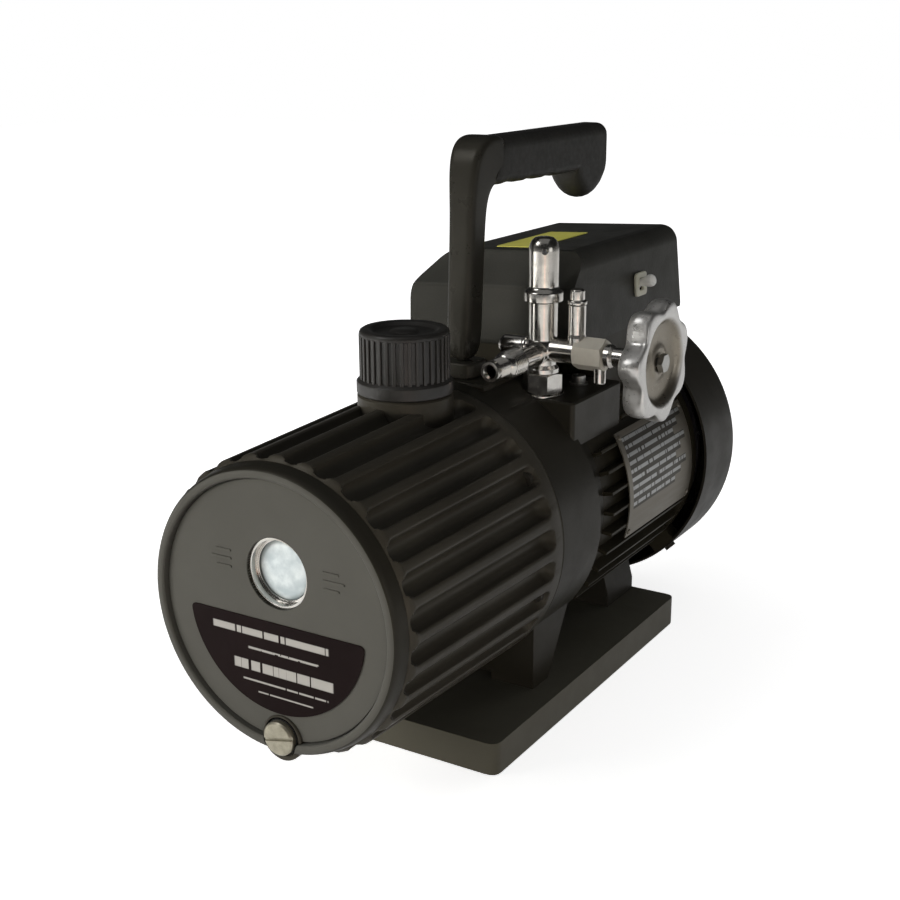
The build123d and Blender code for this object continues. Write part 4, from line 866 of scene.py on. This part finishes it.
# ---- motor ----
# Cast frame with forty straight cooling fins. Inside are the wound stator core, the
# rotor on its shaft and two bearings in their shields.
MOTOR_Y0, MOTOR_Y1, FIN_R, FIN_ROOT, MOTOR_BORE, MOTOR_FINS = 12, 128, 77, 71, 66, 40
MOTOR_ENAMEL = enamel("motor_enamel", "motor_paint", (0.018, 0.016, 0.011), (0.03, 0.027, 0.019), 0.42)
frame_tube = [(MOTOR_BORE, MOTOR_Y0), (FIN_ROOT, MOTOR_Y0), (FIN_ROOT, MOTOR_Y1), (MOTOR_BORE, MOTOR_Y1)]
tube = lathe(frame_tube, "Y", SHAFT, 160, True, 0.6)
piece("motor_barrel", tube, MOTOR_ENAMEL, ["motor_housing"], angle=34)
saddle = turned(box(-50, 50, 22, MOTOR_Y1 - 1, AXIS_Z + 40, AXIS_Z + 87), -3)
hollow = rod(MOTOR_BORE + 1, MOTOR_Y0 - 1, MOTOR_Y1 + 1, "Y", SHAFT, 128)
boss_room = [box(19, 66, MOTOR_Y0 - 1, 51, low, 188) for low in (130, 136)]
piece("motor_saddle", saddle, MOTOR_ENAMEL, cut=[hollow, boss_room[0]], bevel=0.6)
fin_outline = [(-1.35, FIN_ROOT - 1.5), (1.35, FIN_ROOT - 1.5), (0.95, FIN_R), (-0.95, FIN_R)]
fin = prism(rounded(fin_outline, 0.5), "Y", MOTOR_Y0 + 0.2, MOTOR_Y1 - 5, SHAFT)
fins = ring("motor_fins", fin, MOTOR_FINS, "Y", SHAFT, MOTOR_ENAMEL)
carve(fins, [boss_room[1]])
finish_piece(fins, MOTOR_ENAMEL, bevel=0.25)

LAMINATION = Finish("core_laminations", Metallic=0.8)
x, y, z = LAMINATION.split(LAMINATION.place)
sheets = LAMINATION.math("SINE", y * 6500) * 0.5 + 0.5
grain = LAMINATION.noise(300, 3)
LAMINATION.paint(sheets, (0.12, 0.12, 0.12), (0.28, 0.28, 0.29), grain, 0.2, 0.8, (0.4, 0.6))
LAMINATION.bump(sheets, 0.00005)
repaint(LAMINATION, "stator_core", "rotor_core")
COPPER = Finish("winding_copper", Metallic=0.7, Coat_Weight=0.5)
x, y, z = COPPER.split(COPPER.place)
rise = z - AXIS_Z * MM
strands = COPPER.math("SINE", (x * x + rise * rise) ** 0.5 * 7000 + y * 900) * 0.5 + 0.5
COPPER.paint(strands, (0.22, 0.08, 0.03), (0.6, 0.27, 0.12), strands, 0, 1, (0.3, 0.5))
COPPER.bump(strands, 0.0002)
repaint(COPPER, "windings")
ALLOY = mottled("bare_alloy", None, (900, 4, 0.6), (0.42, 0.42, 0.41), (0.6, 0.6, 0.59), (0.4, 0.6),
                grain=0.0001, Metallic=0.9)
repaint(ALLOY, "front_shield", "coupling")
RACE = mottled("bearing_steel", None, (700, 2), (0.55, 0.55, 0.56), (0.7, 0.7, 0.71), (0.14, 0.24),
               Metallic=1)
repaint(RACE, "bearings", "shaft_bush")
repaint(MOTOR_ENAMEL, "end_bell")

# ---- fan and cowl ----
# Nine-bladed fan on the shaft's end inside a deep drawn steel cowl: a rolled rear
# edge and three rings of slots in the rear face that let the air in.
COWL_Y1, COWL_R, COWL_T, ROLL_R = 180.5, 85, 1.5, 9
COWL_ENAMEL = enamel("cowl_enamel", "cowl_paint", (0.015, 0.014, 0.011), (0.024, 0.022, 0.018), 0.36,
                     0.00002, 900)
FAN = mottled("fan_plastic", None, (30, 3), (0.02, 0.02, 0.024), (0.036, 0.036, 0.042), (0.42, 0.56),
              wear=(200, 3))
repaint(FAN, "fan")
roll = (COWL_R - ROLL_R, COWL_Y1 - ROLL_R)
drawn = [(COWL_R - COWL_T, MOTOR_Y1), (COWL_R, MOTOR_Y1), (COWL_R, 150)] + arc(*roll, ROLL_R, 0, 90, 9)
drawn += [(0, COWL_Y1), (0, COWL_Y1 - COWL_T)] + arc(*roll, ROLL_R - COWL_T, 90, -90, 9)
cowl = shown("fan_cowl_shell", lathe(drawn, "Y", SHAFT, 180, True))
for radius, count, length, half in ((24, 8, 12, 4), (38, 14, 13, 3.5), (51.3, 20, 12.5, 3.5)):
    hole = rectangle(-length / 2, length / 2, radius - half, radius + half, half * 0.9, 4)
    cutter = prism(hole, "Y", COWL_Y1 - 4, COWL_Y1 + 2, SHAFT)
    carve(cowl, [ring("slots", cutter, count, "Y", SHAFT, COWL_ENAMEL)])
finish_piece(cowl, COWL_ENAMEL, ["fan_cowl"], angle=34)
repaint(BLACKED, "cowl_screws")

# ---- data plate ----
# Thin satin aluminium plate bent over the fin tips on the right side, with rows of
# broken bars where a maker would print, and a small rivet near each corner.
PLATE_A0, PLATE_A1, PLATE_Y0, PLATE_Y1 = -15, 31, 32, 122
ROW_PITCH, BENDS = 3.5, 28
PLATE = Finish("satin_plate", "plate_silver", Metallic=0.75)
x, y, z = PLATE.split(PLATE.place)
bend = PLATE.math("ARCTAN2", z - AXIS_Z * MM, x) * (180 / math.pi)
count = (PLATE_A1 - 2.6 - bend) / ROW_PITCH
row = PLATE.math("FRACT", count)
index = PLATE.math("FLOOR", count)
reach = 0.117 - PLATE.math("FRACT", index * 0.37) * 0.022
within = PLATE.span(y, 0.0365, 0.037) * PLATE.span(y, reach + 0.0003, reach)
within = within * PLATE.span(bend, PLATE_A0 + 12, PLATE_A0 + 12.3)
within = within * PLATE.span(bend, PLATE_A1 - 2.5, PLATE_A1 - 2.7)
along = PLATE.add("ShaderNodeCombineXYZ", {}, {"X": y * 420, "Y": index * 5.7})
words = PLATE.span(PLATE.noise(1, 1, vector=along), 0.36, 0.42)
pale = within * PLATE.span(row, 0.08, 0.16) * PLATE.span(row, 0.62, 0.54) * words
ruled = within * (1 - pale)
brushed = PLATE.noise(50, 3, vector=PLATE.stretched(8, 1, 8))
ground = PLATE.mix(brushed, (0.17, 0.155, 0.125), (0.25, 0.23, 0.195))
ground = PLATE.mix(pale, ground, (0.46, 0.47, 0.47))
PLATE.paint(ruled * 0.8, ground, (0.035, 0.032, 0.026), brushed, 0.2, 0.8, (0.3, 0.48))
PLATE.bump(1 - ruled, 0.00004)
inside, outside = [arc(0, 0, FIN_R + rise, PLATE_A0, PLATE_A1 - PLATE_A0, BENDS) for rise in (0.02, 0.8)]
sheet = skin([[at("Y", SHAFT, *p, PLATE_Y0), at("Y", SHAFT, *p, PLATE_Y1), at("Y", SHAFT, *q, PLATE_Y1),
               at("Y", SHAFT, *q, PLATE_Y0)] for p, q in zip(inside, outside)], capped=True)
rivet = [(0, 76.9), (1.7, 76.9), (1.5, 78.3), (1, 78.7), (0, 78.8)]
rivets = []
for angle in (PLATE_A0 + 2.4, PLATE_A1 - 2.4):
    for y in (PLATE_Y0 + 3, PLATE_Y1 - 3):
        rivets.append(turned(lathe(rivet, "X", (0, y, AXIS_Z), 20), -angle))
piece("rating_plate", [sheet] + rivets, PLATE, ["data_plate"], angle=40)

# ---- terminal box ----
# Textured black cover over the motor, rolled three degrees about the shaft: drafted
# sides, a sloping brow in front, soft shoulders, the yellow film and the switch.
BOX_ROLL, BOX_HALF, BOX_TOP, BOX_FLOOR = 3, 53, 138.5, 87
BOX_Y0, BOX_Y1, BOX_DRAFT, BOX_BROW = 18, 160, 0.037, 119.5
SHOULDER_R, SWITCH_Y, SWITCH_Z = 11, 101, 110
BOX_ENAMEL = enamel("box_enamel", "box_paint", (0.024, 0.024, 0.021), (0.038, 0.038, 0.034), 0.4, 0.00016,
                    620)


def on_box(mesh):
    """Raise a mesh drawn from the shaft axis and roll it with the box."""
    bmesh.ops.translate(mesh, vec=(0, 0, AXIS_Z * MM), verts=mesh.verts)
    return turned(mesh, -BOX_ROLL)


def box_side(z):
    return BOX_HALF + BOX_DRAFT * (BOX_TOP - 14 - z)


def box_form(shrink, floor):
    """Section along the shaft cut by the side profile."""
    top, side = BOX_TOP - shrink, BOX_HALF - shrink
    foot = box_side(BOX_FLOOR) - shrink
    left_side = [(-side + 46, top), (-side + 19, top), (-side, top - 20), (-foot, floor)]
    section = [(foot, floor)] + arc(side - SHOULDER_R, top - SHOULDER_R, SHOULDER_R, 0, 90, 12)
    section += [tuple(p) for p in rounded(left_side, 22, 10, False)]
    y0, y1 = BOX_Y0 + shrink, BOX_Y1 - shrink
    brow = BOX_BROW - shrink / 2
    lean = BOX_DRAFT * (BOX_BROW - BOX_FLOOR)
    profile = [(y0 - lean, floor - 1), (y0, brow), (y0 + 11, brow + 12), (y0 + 16.5, top), (y1, top),
               (y1 + 1.8, floor - 1)]
    return common(prism(section, "Y", BOX_Y0 - 10, BOX_Y1 + 10), prism(rounded(profile, 4, 5), "X", -80, 80))


window = box(40, 70, SWITCH_Y - 6, SWITCH_Y + 6, SWITCH_Z - 5.5, SWITCH_Z + 5.5)
piece("box_cover", on_box(box_form(0, BOX_FLOOR)), BOX_ENAMEL, ["terminal_box"],
      [on_box(box_form(3, BOX_FLOOR - 2)), on_box(window)], 1.5, 30, 3)
repaint(BOX_ENAMEL, "box_tray")

STICKER = mottled("yellow_film", "sticker_yellow", (60, 3), (0.72, 0.68, 0.1), (0.84, 0.8, 0.18),
                  (0.45, 0.6), wear=(300, 2), grain=0.00001, pits=(900, 2), Specular_IOR_Level=0.4)
film = on_box(prism(rectangle(-8, 18, 41, 108, 2), "Z", BOX_TOP - 0.02, BOX_TOP + 0.35))
piece("top_sticker", film, STICKER, ["box_sticker"], bevel=0.08)

CREAM = mottled("cream_plastic", "switch_cream", (150, 3), (0.46, 0.45, 0.36), (0.58, 0.57, 0.47),
                (0.38, 0.5), Coat_Weight=0.2)
side_x = box_side(SWITCH_Z)
bezel = box(side_x + 0.3, side_x + 2.2, SWITCH_Y - 7.5, SWITCH_Y + 7.5, SWITCH_Z - 7, SWITCH_Z + 7, 3, "X")
throat = box(side_x - 3, side_x + 5, SWITCH_Y - 3, SWITCH_Y + 3, SWITCH_Z - 3.6, SWITCH_Z + 3.6, 1, "X")
piece("switch_frame", on_box(bezel), CREAM, ["switch_bezel"], [on_box(throat)], 0.6)
IVORY = mottled("white_plastic", "switch_white", (120, 3), (0.78, 0.78, 0.75), (0.88, 0.88, 0.86),
                (0.24, 0.36), grain=0.00001, pits=(900, 2), Coat_Weight=0.4, Coat_Roughness=0.1)
tip = [(0, -7.2), (1.5, -7.2), (2.1, -2.5), (2.3, 4), (2.6, 6.6), (3.3, 8.4), (3.7, 10.2), (3.5, 11.8),
       (2.5, 13.1), (0, 13.5)]
pivot = (side_x - 2.6, SWITCH_Y, SWITCH_Z)
pin = rod(3.6, SWITCH_Y - 2.6, SWITCH_Y + 2.6, "Y", (side_x - 2.6, 0, SWITCH_Z), 40, 0.3)
toggle = turned(joined([lathe(tip, "X", pivot, 40, corner=0.3), pin]), -12, "Y", pivot)
piece("switch_toggle", on_box(toggle), IVORY, ["switch_lever"], angle=45, body="power_lever")

CAN = mottled("capacitor_can", None, (90, 3), (0.5, 0.5, 0.48), (0.62, 0.62, 0.6), (0.28, 0.4),
              Coat_Weight=0.3)
repaint(CAN, "run_capacitor")

# ---- pump block ----
# Two eccentric stages of machined iron on one shaft, hidden in the oil: plates,
# rotors with sliding composite vanes, through bolts and a reed exhaust valve.
IRON = mottled("machined_iron", None, (120, 4, 0.6), (0.14, 0.14, 0.14), (0.27, 0.27, 0.26), (0.35, 0.5),
               grain=0.00004, pits=(800, 2), Metallic=0.85)
repaint(IRON, "pump_stator_1", "pump_stator_2", "pump_plates")
repaint(ZINC, "pump_bolts")
REED = mottled("spring_steel", None, (200, 3), (0.36, 0.38, 0.44), (0.55, 0.55, 0.56), (0.18, 0.3),
               Metallic=1)
repaint(REED, "exhaust_valve")
VANE = mottled("vane_composite", None, (1000, 3, 0.7), (0.07, 0.04, 0.02), (0.14, 0.09, 0.05), (0.5, 0.65))
repaint(VANE, "vanes")

# ---- floor, light and camera ----
# White sweep and soft boxes. The key, the low fill and the rear fill are hidden from
# mirrored rays, so bright metal shows the small sheen lamp and a dim backdrop instead.
FLOOR_GLOSS, SKY_GLOSS, AMBIENT = 0.25, 0.13, 0.16
FLOOR = mottled("studio_floor", None, (6, 2), (0.93, 0.93, 0.93), (0.95, 0.95, 0.95), (0.85, 0.95),
                Specular_IOR_Level=0.1, Emission_Color=(1, 1, 1, 1))
x, y, z = FLOOR.split(FLOOR.place)
away = FLOOR.span((x * x + y * y) ** 0.5, 0.15, 0.55)


def ray_kinds(graph):
    """Switches for rays that see the backdrop: straight or through glass, and mirrored."""
    path = graph.tree.nodes.new("ShaderNodeLightPath")
    straight, glass, mirror = [Sock(graph, path.outputs[k])
                               for k in ("Is Camera Ray", "Is Transmission Ray", "Is Glossy Ray")]
    return graph.most(straight, glass), mirror


direct, mirrored = ray_kinds(FLOOR)
FLOOR.set("Emission Strength", FLOOR.most(direct, mirrored * FLOOR_GLOSS) * (away * 0.26 + 0.74))
floor = shown("studio_floor", box(-4000, 4000, -4000, 4000, -20, -0.5, 400))
floor.data.materials.append(FLOOR.material)

world = bpy.data.worlds.new("studio")
bpy.context.scene.world = world
world.use_nodes = True
sky = Graph(world.node_tree)
x, y, z = sky.split(sky.add("ShaderNodeTexCoord", out=0))
ceiling = sky.span(z, 0.05, 0.27, 1, 0.1)
direct, mirrored = ray_kinds(sky)
strength = direct + mirrored * ceiling * SKY_GLOSS
backdrop = sky.add("ShaderNodeBackground", {}, {"Color": (1, 1, 1, 1), "Strength": strength})
ambient = sky.add("ShaderNodeBackground", {}, {"Color": (0.98, 0.99, 1, 1), "Strength": AMBIENT})
choice = sky.add("ShaderNodeMixShader", {}, {0: sky.most(direct, mirrored), 1: ambient, 2: backdrop})
end = sky.tree.nodes.new("ShaderNodeOutputWorld")
sky.tree.links.new(choice.socket, end.inputs[0])
MIDDLE = (0, -0.01, 0.13)


def soft_light(name, place, size, power, tint=(1, 1, 1), target=MIDDLE, mirrored=True):
    """Rectangular area lamp aimed at a point, all in metres."""
    lamp = bpy.data.lights.new(name, "AREA")
    lamp.shape, lamp.size, lamp.size_y, lamp.energy, lamp.color = "RECTANGLE", size[0], size[1], power, tint
    thing = bpy.data.objects.new(name, lamp)
    bpy.context.scene.collection.objects.link(thing)
    aim = (Vector(target) - Vector(place)).to_track_quat("-Z", "Y")
    thing.matrix_world = Matrix.Translation(place) @ aim.to_matrix().to_4x4()
    thing.visible_glossy = mirrored


soft_light("overhead", (0.1, -0.2, 1.5), (1.6, 1.6), 1.2)
soft_light("front_left", (-1.2, -1.3, 0.45), (0.9, 0.7), 19.5, (1, 0.98, 0.93), mirrored=False)
soft_light("low_front", (0.9, -1.2, 0.1), (1.2, 0.2), 5, (1, 0.9, 0.76), (0, -0.05, 0.03), False)
soft_light("rear_fill", (0.5, 1.5, 0.7), (1, 0.8), 4, mirrored=False)
soft_light("front_sheen", (-1.2, -1.3, 0.45), (0.45, 0.7), 5.5, (1, 0.98, 0.93))
soft_light("high_left", (-0.7, -0.9, 1.25), (0.6, 0.6), 3.5)
soft_light("right_side", (1.6, -0.3, 0.4), (0.7, 0.5), 1.2)
soft_light("warm_card", (0.42, -0.56, 0.02), (0.13, 0.26), 0.06, (1, 0.36, 0.2), (0.04, 0, 0.21))

YAW, PITCH, ROLL = 0.5558014, 0.2932979, -0.0068873
camera = bpy.data.cameras.new("view")
camera.lens, camera.sensor_width, camera.clip_start = 55.89, 36, 0.01
eye = bpy.data.objects.new("view", camera)
bpy.context.scene.collection.objects.link(eye)
eye.matrix_world = (Matrix.Translation((0.384446, -0.653781, 0.360091)) @ Matrix.Rotation(YAW, 4, "Z")
                    @ Matrix.Rotation(math.pi / 2 - PITCH, 4, "X") @ Matrix.Rotation(ROLL, 4, "Z"))
bpy.context.scene.camera = eye
bpy.context.scene.view_settings.view_transform = "Standard"
